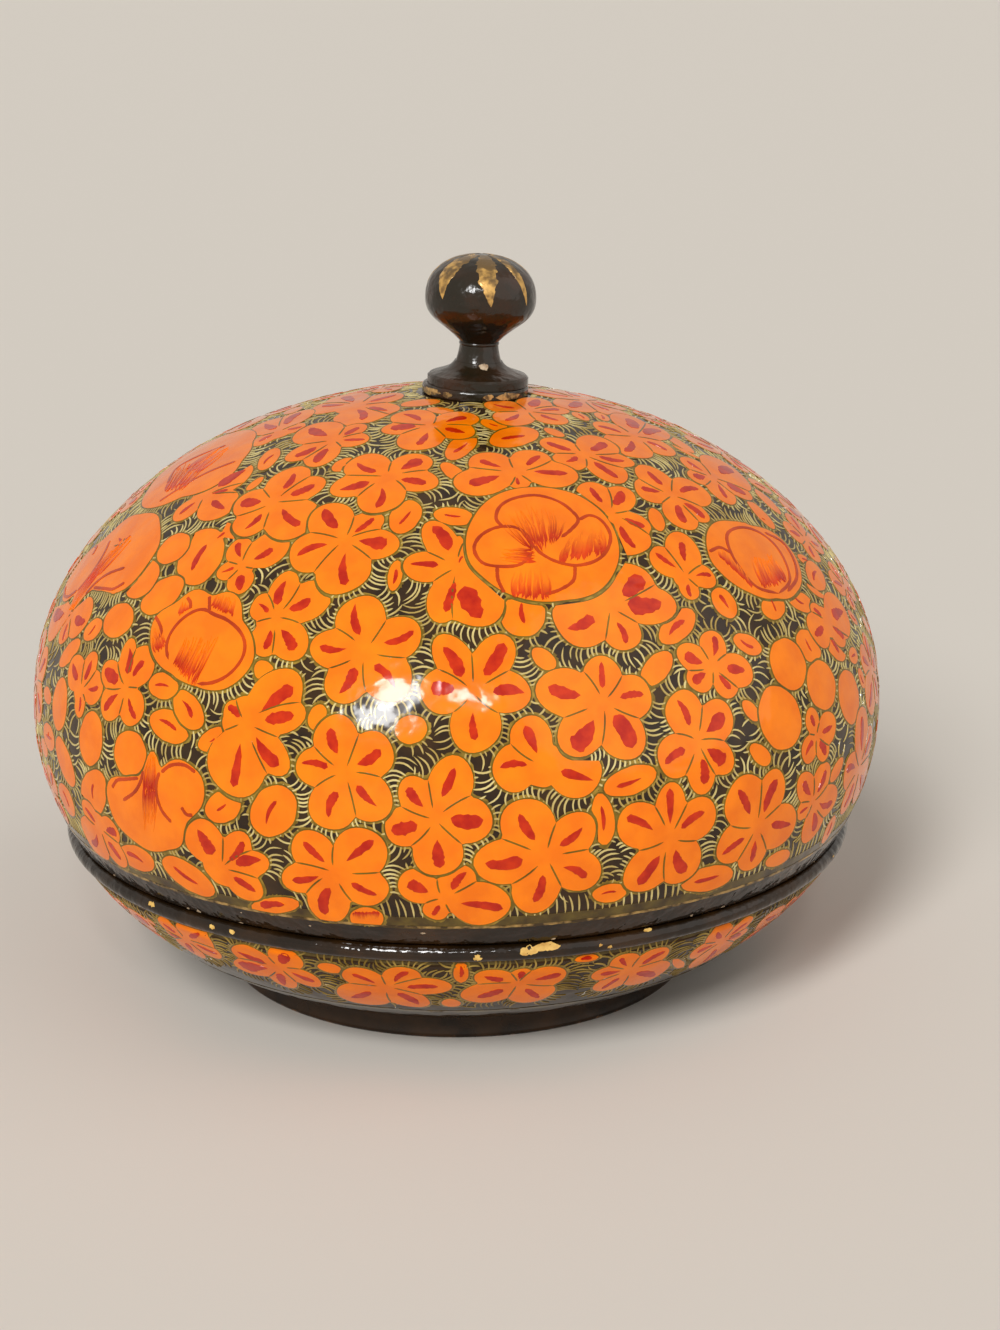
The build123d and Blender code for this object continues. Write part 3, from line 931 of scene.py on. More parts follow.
def brushed(paths, widths, skin, lift, columns=(-0.5, -0.42, 0.42, 0.5)):
    """Corners and faces of brush lines: each path widened to both sides, its edges turned down.

    The columns are the places across a line, in line widths, at which it has corners.
    """
    along = np.gradient(paths, axis=1)
    beside = np.cross(normals_at(paths, skin), along)
    beside /= np.linalg.norm(beside, axis=-1, keepdims=True)
    across = widths[..., None] * np.array(columns)
    corners = paths[:, :, None] + beside[:, :, None] * across[..., None]
    lifts = across * 0 + np.asarray(lift)[..., None, None]
    lifts[..., [0, -1]] = PAINT_SUNK
    lines, steps = widths.shape
    return settled(corners, skin, lifts), grid_faces(lines, steps, len(columns)).tolist()


# Lines between petals: the same olive paint, drawn with the tip of the brush from each notch in
# towards the heart, and stopping short of it.
SEAM_WIDTH = 0.00026
SEAM_STEPS = 7


def petal_lines(flowers, skin):
    """Paths and widths of the lines from the notches of flowers in towards their hearts."""
    paths = []
    for motif in flowers:
        for tip, gap in zip(motif["tips"], motif["gaps"]):
            if gap > math.radians(120):
                continue
            turns = np.angle(tip) + np.linspace(0.25, 0.75, 15) * gap
            notch = turns[reach_of(motif["rim"], turns).argmin()]
            way = np.linspace(1.0, chance.uniform(0.12, 0.4), SEAM_STEPS)
            bend = chance.uniform(-0.3, 0.3) * (1 - way)
            line = reach_of(motif["rim"], notch) * way * np.exp(1j * (notch + bend))
            paths.append(laid_on(line, motif["centre"], skin))
    widths = np.full((len(paths), SEAM_STEPS), SEAM_WIDTH)
    widths[:, [0, -1]] = 0
    return np.array(paths), widths


painted("lid_petal_lines", "lid", "painted_lid", olive_paint,
        *brushed(*petal_lines(flowers, dome), dome, LINE_LIFT))

# Red strokes: one touch of the brush along each petal, pressed down at one end and drawn off at
# the other; some are broad blots.
STROKE_RED = colour(170, 24, 2)
STROKE_RED_WORN = colour(196, 46, 2)
STROKE_STEPS = 12


def petal_strokes(motifs, skin):
    """Paths and widths of the strokes along the petals of flowers and buds."""
    paths, widths = [], []
    way = np.linspace(0, 1, STROKE_STEPS)
    for motif in motifs:
        for tip in motif["tips"]:
            if motif["gaps"] is None:
                start, end = -0.45 * tip, 0.45 * tip
            else:
                start, end = chance.uniform(0.26, 0.36) * tip, chance.uniform(0.78, 0.9) * tip
            if chance.random() < 0.4:
                start, end = end, start
            broad = chance.choice([0.08, 0.11, 0.16], p=[0.45, 0.37, 0.18])
            bow = chance.uniform(-0.12, 0.12) * np.sin(math.pi * way)
            line = start + (end - start) * (way + 1j * bow) + chance.uniform(-0.04, 0.04) * 1j * tip
            press = way ** chance.uniform(0.3, 1.0) * (1 - way) ** chance.uniform(0.2, 0.6)
            press /= press.max()
            paths.append(laid_on(line, motif["centre"], skin))
            widths.append(2 * broad * abs(tip) * press * chance.uniform(0.84, 1.14, STROKE_STEPS))
    return np.array(paths), np.array(widths)


red_paint = varnished("red_paint", STROKE_RED, STROKE_RED_WORN, patch=0.0018)
painted("lid_red_strokes", "lid", "painted_lid", red_paint,
        *brushed(*petal_strokes(flowers + buds, dome), dome, LINE_LIFT))

# Inside the roses: red-brown lines, and fans of dry red strokes that thin out and fade to the
# petal's orange towards their tips.
ROSE_LINE = colour(196, 66, 4)
ROSE_LINE_DARK = colour(160, 46, 4)
ROSE_BLUSH = colour(214, 62, 4)
ROSE_WIDTH = 0.00056
ROSE_STEPS = 40
FAN_STEPS = 8
FAN_DENSER = 2                        # strokes drawn for each that is counted above
FAN_LAYER = 0.00001                   # each stroke of five lies this much over the last
rose_paths = np.array([
    laid_on(through(line, ROSE_STEPS), rose["centre"], dome)
    for rose in roses
    for line in rose["lines"]
])
rose_widths = ROSE_WIDTH * chance.uniform(0.86, 1.14, rose_paths.shape[:2])
rose_widths[:, [0, -1]] = 0
rose_paint = varnished("rose_lines", ROSE_LINE_DARK, ROSE_LINE)
painted("lid_rose_lines", "lid", "painted_lid", rose_paint,
        *brushed(rose_paths, rose_widths, dome, LINE_LIFT * 1.2))
fan_paths, fan_widths = [], []
way = np.linspace(0, 1, FAN_STEPS)
for rose in roses:
    for (root_a, root_b, reach_a, reach_b), strokes in rose["blushes"]:
        strokes = FAN_DENSER * strokes
        for part in np.linspace(0, 1, strokes):
            root = root_a + (root_b - root_a) * part
            reach = reach_a + (reach_b - reach_a) * (part + chance.uniform(-0.06, 0.06))
            begin, finish = chance.uniform(-0.12, 0.14), chance.uniform(0.5, 1.1)
            drawn = begin + (finish - begin) * way
            bow = 0.08 * np.sin(math.pi * way) * chance.uniform(-1, 1)
            line = root + (reach - root) * (drawn + 1j * bow)
            fan_paths.append(laid_on(line, rose["centre"], dome))
            full = 4.2 * abs(root_b - root_a) / strokes * chance.uniform(0.6, 1.3)
            fan_widths.append(full * (1 - way) ** 0.6 * way ** 0.3)


def worn_to(material, bare, amount):
    """Mixes a bare colour into a material by an amount from 0 to 1, given as a socket."""
    tree = material.node_tree
    shader = tree.nodes["Principled BSDF"]
    blend = tree.nodes.new("ShaderNodeMix")
    blend.data_type = "RGBA"
    tree.links.new(amount, blend.inputs["Factor"])
    tree.links.new(shader.inputs["Base Color"].links[0].from_socket, blend.inputs["A"])
    blend.inputs["B"].default_value = bare
    tree.links.new(blend.outputs["Result"], shader.inputs["Base Color"])


blush_paint = varnished("rose_blush", STROKE_RED, ROSE_BLUSH)
faded = blush_paint.node_tree.nodes.new("ShaderNodeAttribute")
faded.attribute_name = "faded"
worn_to(blush_paint, PETAL_ORANGE, faded.outputs["Fac"])
fan_lifts = LINE_LIFT + FAN_LAYER * (np.arange(len(fan_paths)) % 5)
fan_corners, fan_faces = brushed(np.array(fan_paths), np.array(fan_widths), dome, fan_lifts)
blush = painted("lid_rose_blush", "lid", "painted_lid", blush_paint, fan_corners, fan_faces)
fade = np.broadcast_to(1.25 * (way - 0.2).clip(0)[:, None], fan_corners.shape[:3])
blush.data.attributes.new("faded", "FLOAT", "POINT").data.foreach_set("value", fade.ravel())

# Hatching: the ground left between the motifs is filled with fine cream-gold lines, drawn with a
# very small brush across each gap from one gold edge to the next, each bowed like a comma.
HATCH_CREAM = colour(212, 194, 130)
HATCH_GOLD = colour(164, 136, 68)
HATCH_PITCH = 0.00066
HATCH_APART = 0.00046                 # no line comes nearer than this to one drawn before it
HATCH_SHORT = 0.0009                  # narrower gaps are left empty
HATCH_WIDTH = 0.00028
HATCH_STEP = 0.00028
HATCH_WALK = 26                       # steps that a line may take to reach the next motif
HATCH_FREE = 0.0024                   # length of a line that reaches none
HATCH_WIDE = 0.0036                   # across wider gaps lines come from both sides and meet
HATCH_OVERLAP = 0.0003                # each end runs this far over a gold edge
HATCH_AHEAD = 0.001                   # a line's heading is taken to a point this far out
HATCH_MET = 0.00005                   # a line this near to a motif has met it
HATCH_BACK = -0.0002                  # and has come back into its own when this deep in it
HATCH_FOOT = MARGIN_HEIGHT + 0.001    # lines of the lid start and end above this height
DISC_RING = DISC_CLEAR - 0.0004       # and outside this ring round the knob's disc
HATCH_LIFT = 0.00007
HATCH_STEPS = 7
HATCH_TAPER = np.array([0, 0.8, 1, 1, 1, 0.75, 0])


def line_starts(motif, skin):
    """Points a hatching pitch apart round a motif's outline, and the way out of it at each."""
    edge = motif["rim"] * np.exp(1j * TURN)
    softened = sum(np.roll(edge, shift) for shift in range(-3, 4))
    outward = -1j * (np.roll(softened, -1) - np.roll(softened, 1))
    ring = np.append(edge, edge[0])
    travelled = np.append(0, np.cumsum(abs(np.diff(ring))))
    count = int(travelled[-1] / HATCH_PITCH)
    at = (np.arange(count) + chance.uniform(0.3, 0.7, count)) * travelled[-1] / count
    place = np.interp(at, travelled, np.arange(TURNS + 1))
    flat = np.interp(place, np.arange(TURNS + 1), ring)
    way = np.interp(place, np.arange(TURNS + 1), np.append(outward, outward[0]))
    start = laid_on(flat, motif["centre"], skin)
    ahead = laid_on(flat + HATCH_AHEAD * way / abs(way), motif["centre"], skin)
    return start, (ahead - start) / np.linalg.norm(ahead - start, axis=1, keepdims=True)


def thinned(paths):
    """Lines drawn one after another, each stopping before it comes too near to an earlier one.

    Only lines whose middles lie close are compared, point by point.  One with no room even for its
    first third is left out.
    """
    paths = paths.copy()
    middles = paths[:, HATCH_STEPS // 2].copy()
    stays = np.zeros(len(paths), bool)
    for number, path in enumerate(paths):
        near = np.linalg.norm(middles[:number] - middles[number], axis=1) < HATCH_WIDE
        others = paths[:number][near & stays[:number], 1:-1].reshape(-1, 3)
        tight = (np.linalg.norm(path[1:-1, None] - others, axis=-1) < HATCH_APART).any(1)
        stays[number] = not tight[:2].any()
        if tight[2:].any():
            clear = tight.argmax()
            place = np.linspace(0, clear, HATCH_STEPS)
            low = np.minimum(place.astype(int), clear - 1)
            part = (place - low)[:, None]
            paths[number] = path[low] * (1 - part) + path[low + 1] * part
    return paths[stays]


def hatched(motifs, skin, lowest):
    """Paths and widths of the lines across the gaps between motifs, above a lowest height.

    A line starts at every pitch along each outline and walks out until it meets another motif.
    First come the lines of the earlier motif of each two; across a wide gap both draw, each to a
    little past halfway.  Then every room left is filled with such half lines.  A line that would
    pass much nearer to a third motif comes late too, and one that meets nothing is cut short.
    """
    pairs = [line_starts(motif, skin) for motif in motifs]
    owners = np.repeat(np.arange(len(motifs)), [len(start) for start, _ in pairs])
    starts, headings = (np.concatenate(part) for part in zip(*pairs))
    steps = np.arange(1, HATCH_WALK + 1) * HATCH_STEP
    trail = settled(starts[:, None] + steps[:, None] * headings[:, None], skin)
    nearest = np.full(trail.shape[:2], np.inf)
    whose = np.full(trail.shape[:2], -1)
    for number, motif in enumerate(motifs):
        gap = gaps_to(motif, trail, skin)
        gap[(owners == number)[:, None] & (gap > HATCH_BACK)] = np.inf
        closer = gap < nearest
        nearest[closer] = gap[closer]
        whose[closer] = number
    met = nearest < HATCH_MET
    free = int(HATCH_FREE / HATCH_STEP)
    end = np.where(met.any(1), met.argmax(1), free)
    line = np.arange(len(starts))
    middle = end // 2
    crowded = nearest[line, middle] < 0.5 * steps[middle]
    crowded &= whose[line, middle] != whose[line, end]
    other = np.where(met.any(1), whose[line, end], len(motifs))
    wide = met.any(1) & (steps[end] > HATCH_WIDE)
    hemmed_in = ~met.any(1) & (nearest[line, free] <= 0.5 * HATCH_FREE)
    first = ((owners < other) | wide) & ~crowded & ~hemmed_in
    kept = (steps[end] > HATCH_SHORT) & (trail[line, end, 2] > lowest) & (starts[:, 2] > lowest)
    part = np.where(wide | ~first, chance.uniform(0.5, 0.62, len(end)), 1)
    drawn = np.concatenate([np.flatnonzero(kept & first), np.flatnonzero(kept & ~first)])
    starts, headings = starts[drawn], headings[drawn]
    length = (part * (steps[end] - HATCH_STEP / 2))[drawn]
    side = (owners[drawn] + other[drawn]) % 2 * 2 - 1
    side = np.where(owners[drawn] < other[drawn], side, -side)
    way = np.linspace(0, 1, HATCH_STEPS)
    along = -HATCH_OVERLAP + (length[:, None] + 2 * HATCH_OVERLAP) * way
    beside = np.cross(normals_at(starts, skin), headings)
    bow = (side * length * chance.uniform(0.18, 0.23, len(length)))[:, None] * np.sin(math.pi * way)
    paths = starts[:, None] + headings[:, None] * along[..., None]
    paths = thinned(settled(paths + beside[:, None] * bow[..., None], skin))
    return paths, HATCH_WIDTH * chance.uniform(0.8, 1.15, (len(paths), 1)) * HATCH_TAPER


disc_ring = {"centre": disc_middle, "rim": np.full(TURNS, DISC_RING)}
hatch_paint = varnished("hatch_paint", HATCH_GOLD, HATCH_CREAM, patch=0.006)
hatch_paths, hatch_widths = hatched(motifs + [disc_ring], dome, HATCH_FOOT)
painted("lid_hatching", "lid", "painted_lid", hatch_paint,
        *brushed(hatch_paths, hatch_widths, dome, HATCH_LIFT))

# The lid's margin: an olive-brown band above the hoop, a row of short upright strokes that stand on
# it, and a worn gilt line on the joint with the hoop.
MARGIN_OLIVE = colour(98, 80, 30)
MARGIN_BROWN = colour(60, 44, 20)
GILT_LINE = colour(166, 132, 74)
MARGIN_TOP = 0.0297
GILT_HEIGHT = 0.00035
MARGIN_LIFT, GILT_LIFT = 0.00004, 0.00008
ROUND_STEPS = 480
hoop_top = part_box("lid_rim_hoop")[1][2]
gilt_foot = hoop_top + 0.0001


def banded(skin, low, high, lift, ragged=0.00006):
    """Corners and faces of a painted band right round a skin, its edges turned down."""
    hub, even, outline = skin[:3]
    turn = np.linspace(0, 2 * math.pi, ROUND_STEPS, endpoint=False)
    heights = np.array([high, high, low, low])[:, None] + 0 * turn
    heights += ragged * chance.uniform(-1, 1, (4, ROUND_STEPS))
    elevation = np.interp(heights, hub[2] + outline * np.sin(even), even)
    lifts = np.array([PAINT_SUNK, lift, lift, PAINT_SUNK])[:, None] + 0 * turn
    rings = settled(hub + direction(elevation, turn + 0 * elevation), skin, lifts)
    return rings, grid_faces(1, 4, ROUND_STEPS, closed=True).tolist()


margin_paint = varnished("margin_paint", MARGIN_BROWN, MARGIN_OLIVE, patch=0.003)
painted("lid_margin", "lid", "painted_lid", margin_paint,
        *banded(dome, hoop_top, MARGIN_TOP, MARGIN_LIFT))
gilt_line = varnished("gilt_line", MARGIN_BROWN, GILT_LINE, patch=0.002, spread=(0.42, 0.6))
painted("lid_gilt_line", "lid", "painted_lid", gilt_line,
        *banded(dome, gilt_foot, gilt_foot + GILT_HEIGHT, GILT_LIFT))

RIM_STROKES = 370
RIM_STROKE_LENGTH = 0.0032
RIM_STROKE_SHORT = 0.0006             # shorter ones, close under a flower, are left out
RIM_STROKE_OVER = 0.0002              # and one that meets a flower runs on this far
RIM_STEPS = 14
MARGIN_REACH = 0.062                  # from the dome's axis to the strokes' feet
turn = (np.arange(RIM_STROKES) + chance.uniform(-0.15, 0.15, RIM_STROKES)) * 2 * math.pi
turn /= RIM_STROKES
low_on_dome = math.atan2(MARGIN_TOP - DOME_HUB[2], MARGIN_REACH)
foot = settled(DOME_HUB + direction(np.full(RIM_STROKES, low_on_dome), turn), dome)
facing = normals_at(foot, dome)
rising = np.cross(facing, np.cross([0, 0, 1], facing))
rising /= np.linalg.norm(rising, axis=1, keepdims=True)
steps = np.arange(1, RIM_STEPS + 1) * RIM_STROKE_LENGTH / RIM_STEPS
trail = settled(foot[:, None] + steps[:, None] * rising[:, None], dome)
blocked = np.min([gaps_to(motif, trail, dome) for motif in motifs], axis=0) < 0
length = np.where(blocked.any(1), steps[blocked.argmax(1)] + RIM_STROKE_OVER, RIM_STROKE_LENGTH)
standing = length > RIM_STROKE_SHORT
way = np.linspace(0, 1, HATCH_STEPS)
lean_over = np.cross(facing, rising) * chance.uniform(0.1, 0.3, (RIM_STROKES, 1))
rim_paths = foot[:, None] + length[:, None, None] * (
    way[:, None] * rising[:, None] + (way ** 2)[:, None] * lean_over[:, None]
)
rim_widths = np.repeat(HATCH_WIDTH * HATCH_TAPER[None], RIM_STROKES, 0)
painted("lid_rim_strokes", "lid", "painted_lid", hatch_paint,
        *brushed(settled(rim_paths[standing], dome), rim_widths[standing], dome, HATCH_LIFT))

# Lid rim hoop: a black lacquered hoop of pasteboard glued under the dome's edge, worn brown in
# places by handling.  Pale flecks along its edges are painted glints of light, shaped as small
# chips.
BLACK = colour(26, 16, 6)
BLACK_WORN = colour(56, 35, 14)
CHIP_AND_GLINT = colour(196, 176, 148)
CHIP_AND_GLINT_DARK = colour(140, 112, 84)
CHIP_LIFT = 0.00003                   # chips are flat, and only just stand off the lacquer
CHIP_REACH = 0.06                     # from the axis to a chip, near enough
black_lacquer = varnished("black_lacquer", BLACK, BLACK_WORN, patch=0.007, gloss=0.1,
                          wave=0.0028, relief=0.13, shine=0.5, spread=(0.45, 0.75))
dress(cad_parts["lid_rim_hoop"], black_lacquer)


def chips_and_glints(count, height, spread, size, skin):
    """Small ragged marks at chance turns round a skin, longer round it than they are high: chips of
    gesso on the bead, painted glints on the hoop.
    """
    chips = []
    for turn in chance.uniform(0, 2 * math.pi, count):
        centre = spot_on(skin, turn, CHIP_REACH, height + chance.uniform(-spread, spread))
        reach = size * chance.uniform(0.3, 1.0)
        rim = oval_reach(TURN, 0, reach, 1j * reach * chance.uniform(0.35, 0.7)) * wobble(TURN, 0.6)
        chips.append({"centre": centre, "rim": rim})
    return chips


# Pale paint for the hoop's painted glints and for the knob's chip of lost lacquer.
chip_and_glint_paint = varnished("chip_and_glint_paint", CHIP_AND_GLINT_DARK, CHIP_AND_GLINT, patch=0.001, gloss=0.4)
# painted glints, shaped as chips of lacquer: most along its lower edge, and a few along its upper
# one
hoop_glints = chips_and_glints(22, hoop_top - 0.0026, spread=0.0001, size=0.0004, skin=dome)
hoop_glints += chips_and_glints(8, hoop_top - 0.0005, spread=0.0003, size=0.0003, skin=dome)
painted("hoop_painted_glints", "lid", "black_lacquer", chip_and_glint_paint,
        *filled(hoop_glints, dome, CHIP_LIFT, 1, 6))

# Knob: ball, neck and flared foot turned from one piece of wood, on a stepped wooden disc.  Both
# are lacquered brown-black with redder clouds, and gilt: seven worn petals of leaf come down from
# the ball's top.
KNOB_BLACK = colour(31, 25, 14)
KNOB_RED = colour(54, 32, 17)
GILT = colour(204, 160, 88)
GILT_DULL = colour(128, 98, 56)
GILT_BARE = colour(112, 88, 54)
KNOB_LEAN = math.radians(2.11)
BALL_OVER = 0.00645                   # the ball's widest line to its top
ON_BALL, ON_DISC = 0.01, 0.008        # from the ball's middle and the disc's to paint, near enough
PETAL_TOP, PETAL_TIP = math.radians(80), math.radians(4)
# compass turn of each petal, and the half-width that is left of it in millimetres
GILT_PETALS = [(-132, 1.6), (-79, 1.6), (-35, 0.8), (17, 1.3), (70, 1.1), (122, 1.4), (173, 1.0)]
GILT_STEPS = 34
LEAF_COLUMNS = (-0.5, -0.46, -0.3, -0.15, 0, 0.15, 0.3, 0.46, 0.5)
LEAF_WORN_FEW, LEAF_WORN_MOST = -0.0075, 0.0015   # heights from the knob's top

knob_low, knob_high = (np.array(corner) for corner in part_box("knob_finial"))
lean = np.array([
    [math.cos(KNOB_LEAN), 0, math.sin(KNOB_LEAN)],
    [0, 1, 0],
    [-math.sin(KNOB_LEAN), 0, math.cos(KNOB_LEAN)],
])
ball_middle = np.array([(knob_low[0] + knob_high[0]) / 2, 0, knob_high[2] - BALL_OVER])
ball = skin_of(("knob_finial",), ball_middle, math.radians(-32), math.radians(89.5), lean)

knob_paint = varnished("knob_lacquer", KNOB_BLACK, KNOB_RED, patch=0.005, gloss=0.17,
                       wave=0.0026, relief=0.14, shine=0.52, spread=(0.45, 0.7))
for name in ("knob_finial", "knob_seat_disc"):
    dress(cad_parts[name], knob_paint)


def rub_down(material, bare, least, most):
    """Wears a material to a bare colour in patches, from few at one height to most at another."""
    tree = material.node_tree
    place = tree.nodes.new("ShaderNodeTexCoord").outputs["Object"]
    height = node(tree, "ShaderNodeSeparateXYZ", Vector=place).outputs["Z"]
    patches = node(tree, "ShaderNodeTexNoise", Vector=place, Scale=500.0, Detail=4.0)
    worn = ramped(tree, height, least, most, -0.3, 0.3)
    worn = reckoned(tree, "ADD", patches.outputs["Fac"], worn)
    worn_to(material, bare, ramped(tree, worn, 0.56, 0.68, 0.0, 1.0))


gilt_paint = varnished("worn_gilt", GILT_DULL, GILT, patch=0.0009, gloss=0.3,
                       wave=0.0012, relief=0.1, shine=0.5, spread=(0.34, 0.58))
rub_down(gilt_paint, GILT_BARE, knob_high[2] + LEAF_WORN_FEW, knob_high[2] + LEAF_WORN_MOST)
gilt_paint.node_tree.nodes["Principled BSDF"].inputs["Metallic"].default_value = 0.35
gilt_paths, gilt_widths = [], []
way = np.linspace(0, 1, GILT_STEPS)
for turn, half_width in GILT_PETALS:
    tip = PETAL_TIP + chance.uniform(-0.1, 0.1)
    swing = chance.uniform(-0.12, 0.12)
    turns = math.radians(turn) + swing * np.sin(math.pi * way)
    line = direction(PETAL_TOP + (tip - PETAL_TOP) * way, turns)
    gilt_paths.append(settled(ball_middle + ON_BALL * line @ lean.T, ball))
    leaf = np.minimum(0.35 + 1.9 * way, 1) * np.minimum((1 - way) * 2.9, 1) ** 0.8
    gilt_widths.append(0.002 * half_width * leaf * chance.uniform(0.8, 1.1, GILT_STEPS))
painted("knob_gilt_petals", "lid", "knob_lacquer", gilt_paint,
        *brushed(np.array(gilt_paths), np.array(gilt_widths), ball, CHIP_LIFT, LEAF_COLUMNS))

# The stepped disc was gilt too: patches of old leaf are left along its edge.  The knob's foot above
# it has lost a chip of its lacquer.
GILT_LEFT = colour(178, 140, 82)
GILT_LEFT_DARK = colour(84, 62, 34)
PIXEL = 0.000153                      # size on the box of one step of the frame
# compass turn of each patch, its half-length and half-height
GILT_PATCHES = [
    (-148, 0.0029, 0.0005), (-121, 0.0009, 0.0004), (-52, 0.0027, 0.0005), (-75, 0.0008, 0.0004),
    (28, 0.0021, 0.0004), (96, 0.0012, 0.0005),
]
seat_low, seat_high = (np.array(corner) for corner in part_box("knob_seat_disc"))
seat_middle = (seat_low + seat_high) / 2
seat = skin_of(("knob_seat_disc",), seat_middle, math.radians(-5), math.radians(5.5), lean)
foot_middle = ball_middle - lean[:, 2] * (ball_middle[2] - seat_high[2]) / lean[2, 2]
neck = skin_of(("knob_finial",), foot_middle, math.radians(12), math.radians(62), lean)


def patch_on(centre, half_length, half_height):
    """A ragged patch or chip round a place."""
    rim = oval_reach(TURN, 0, half_length, 1j * half_height) * wobble(TURN, 0.32)
    return {"centre": centre, "rim": rim}


def chip_at(middle, half_length, half_height, skin):
    """A chip read from its middle and its half-sizes in the frame."""
    return patch_on(seen_at(middle, skin), half_length * PIXEL, half_height * PIXEL)


old_leaf = varnished("old_leaf", GILT_LEFT_DARK, GILT_LEFT, patch=0.0007, gloss=0.3,
                     wave=0.0012, relief=0.1, shine=0.5, spread=(0.4, 0.6))
patches = []
for turn, half_length, half_height in GILT_PATCHES:
    edge = seat_middle + ON_DISC * direction(0.0, math.radians(turn)) @ lean.T
    patches.append(patch_on(settled(edge, seat), half_length, half_height))
painted("knob_chip", "lid", "knob_lacquer", chip_and_glint_paint,
        *filled([chip_at((484, 367), 5, 3.5, neck)], neck, CHIP_LIFT, 3, 3))
painted("disc_gilt_patches", "lid", "knob_lacquer", old_leaf,
        *filled(patches, seat, CHIP_LIFT, 3, 3))

# Backing disc inside the crown: bare grey-brown pasteboard, glued round the spigot's end to hold
# the knob.
PASTEBOARD = colour(166, 146, 116)
PASTEBOARD_DARK = colour(128, 108, 82)
bare_paper = varnished("bare_paper", PASTEBOARD_DARK, PASTEBOARD, patch=0.002, gloss=0.75)
dress(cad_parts["knob_backing_disc"], bare_paper)

# Bowl: moulded paper under the same ground, with one band of flowers painted round its side between
# an olive-brown line below the bead and another above the foot.
BOWL_HUB = (0, 0, 0.030)
BAND_TOP, BAND_FOOT = 0.0218, 0.0106
MARGIN_HALF = 0.0003                  # half the height of the margin and of the border
BORDER_DROP = 0.0009                  # from the band's foot down to the middle of the border
BOWL_SHINE = 0.16                     # its varnish is duller than the lid's
bowl = skin_of(("base_bowl",), BOWL_HUB, math.radians(-34.3), math.radians(-5))
bowl_ground = varnished("bowl_ground", GROUND_COLOUR, GROUND_WARM, shine=BOWL_SHINE)
bowl_petal_paint = varnished("bowl_petals", PETAL_ORANGE_DEEP, PETAL_ORANGE, shine=BOWL_SHINE)
bowl_red_paint = varnished("bowl_red", STROKE_RED, STROKE_RED_WORN, patch=0.0018,
                           shine=BOWL_SHINE)
# Its hatching is mixed from darker golds than the lid's: painted shade, for the bowl lies in the
# shadow of the lid's overhang.
shaded_bowl_hatch_paint = varnished("bowl_hatch_painted_shade", OLD_GOLD_DARK, HATCH_GOLD, patch=0.006,
                             shine=BOWL_SHINE)
dress(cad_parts["base_bowl"], bowl_ground)

# (heart, tips of its petals), places in the frame
SHOWN_BAND = [
    ((185, 938), [(158, 918), (205, 930), (222, 955), (196, 954), (168, 932)]),
    ((280, 967), [(232, 948), (292, 950), (322, 984), (236, 966), (286, 986)]),
    ((387, 986), [(345, 970), (412, 968), (450, 985), (347, 999), (423, 1006)]),
    ((518, 982), [(476, 974), (522, 968), (566, 972), (466, 999), (541, 999)]),
    ((630, 969), [(668, 948), (620, 955), (592, 975), (597, 991), (658, 975)]),
    ((722, 940), [(752, 917), (714, 928), (690, 955), (700, 964), (745, 932)]),
]
SHOWN_BAND_BUDS = [
    ((317, 965), (341, 970), 9, False),
    ((441, 1002), (460, 1003), 8, False),
    ((574, 960), (598, 957), 8, True),
    ((672, 960), (684, 966), 9, False),
    ((461, 960), (461, 983), 15, True),
]
BAND_STEP = math.radians(16.5)        # about this far from one flower of the band to the next
BAND_REACH, BAND_MIDDLE = 0.055, 0.0172   # a heart's distance from the axis, and its height
BAND_BUD_HEIGHTS = [0.0197, 0.0125]
BAND_BUD_HALF = 0.0015                # half-length of a bud
# (east, up) of each petal's tip from the heart
BAND_TIPS = np.array([7.8 + 2.2j, 0.9 + 4.8j, -7.4 + 3.0j, -5.6 - 3.6j, 5.4 - 4.4j]) / 1000

band = [flower_at(heart, tips, bowl) for heart, tips in SHOWN_BAND]
band_buds = [bud_at(*placed, bowl) for placed in SHOWN_BAND_BUDS]
turns = [math.atan2(motif["centre"][1], motif["centre"][0]) for motif in band]
free = 2 * math.pi - (max(turns) - min(turns))
count = round(free / BAND_STEP)
for turn in max(turns) + np.arange(1, count) * free / count:
    heart = spot_on(bowl, turn, BAND_REACH, BAND_MIDDLE + chance.uniform(-0.0005, 0.0005))
    tips = BAND_TIPS * chance.uniform(0.92, 1.08, len(BAND_TIPS))
    if chance.random() < 0.5:
        tips = -tips.conj()
    band.append(flower(heart, tips * np.exp(1j * chance.uniform(-0.12, 0.12))))
    beside = turn + free / count / 2
    place = spot_on(bowl, beside, BAND_REACH, chance.choice(BAND_BUD_HEIGHTS))
    reach = BAND_BUD_HALF * chance.uniform(0.8, 1.2)
    band_buds.append(bud(place, reach, 0.5j * reach, False))

band_motifs = band + band_buds
set_apart(band_motifs, 0, BAND_FOOT, BAND_TOP, bowl)
painted("bowl_flowers", "base", "painted_bowl", bowl_petal_paint,
        *filled(band, bowl, PETAL_LIFT, 7))
painted("bowl_buds", "base", "painted_bowl", bowl_petal_paint,
        *filled(band_buds, bowl, BUD_LIFT, 2, 3))
painted("bowl_outlines", "base", "painted_bowl", olive_paint,
        *bordered(band_motifs, bowl, *OLIVE_LINE, 0.3))
painted("bowl_gold_edges", "base", "painted_bowl", old_gold,
        *bordered(band_motifs, bowl, *GOLD_LINE, 0.3))
painted("bowl_petal_lines", "base", "painted_bowl", olive_paint,
        *brushed(*petal_lines(band, bowl), bowl, LINE_LIFT))
painted("bowl_red_strokes", "base", "painted_bowl", bowl_red_paint,
        *brushed(*petal_strokes(band_motifs, bowl), bowl, LINE_LIFT))
band_paths, band_widths = hatched(band_motifs, bowl, BAND_FOOT)
painted("bowl_hatching", "base", "painted_bowl", shaded_bowl_hatch_paint,
        *brushed(band_paths, band_widths, bowl, HATCH_LIFT))
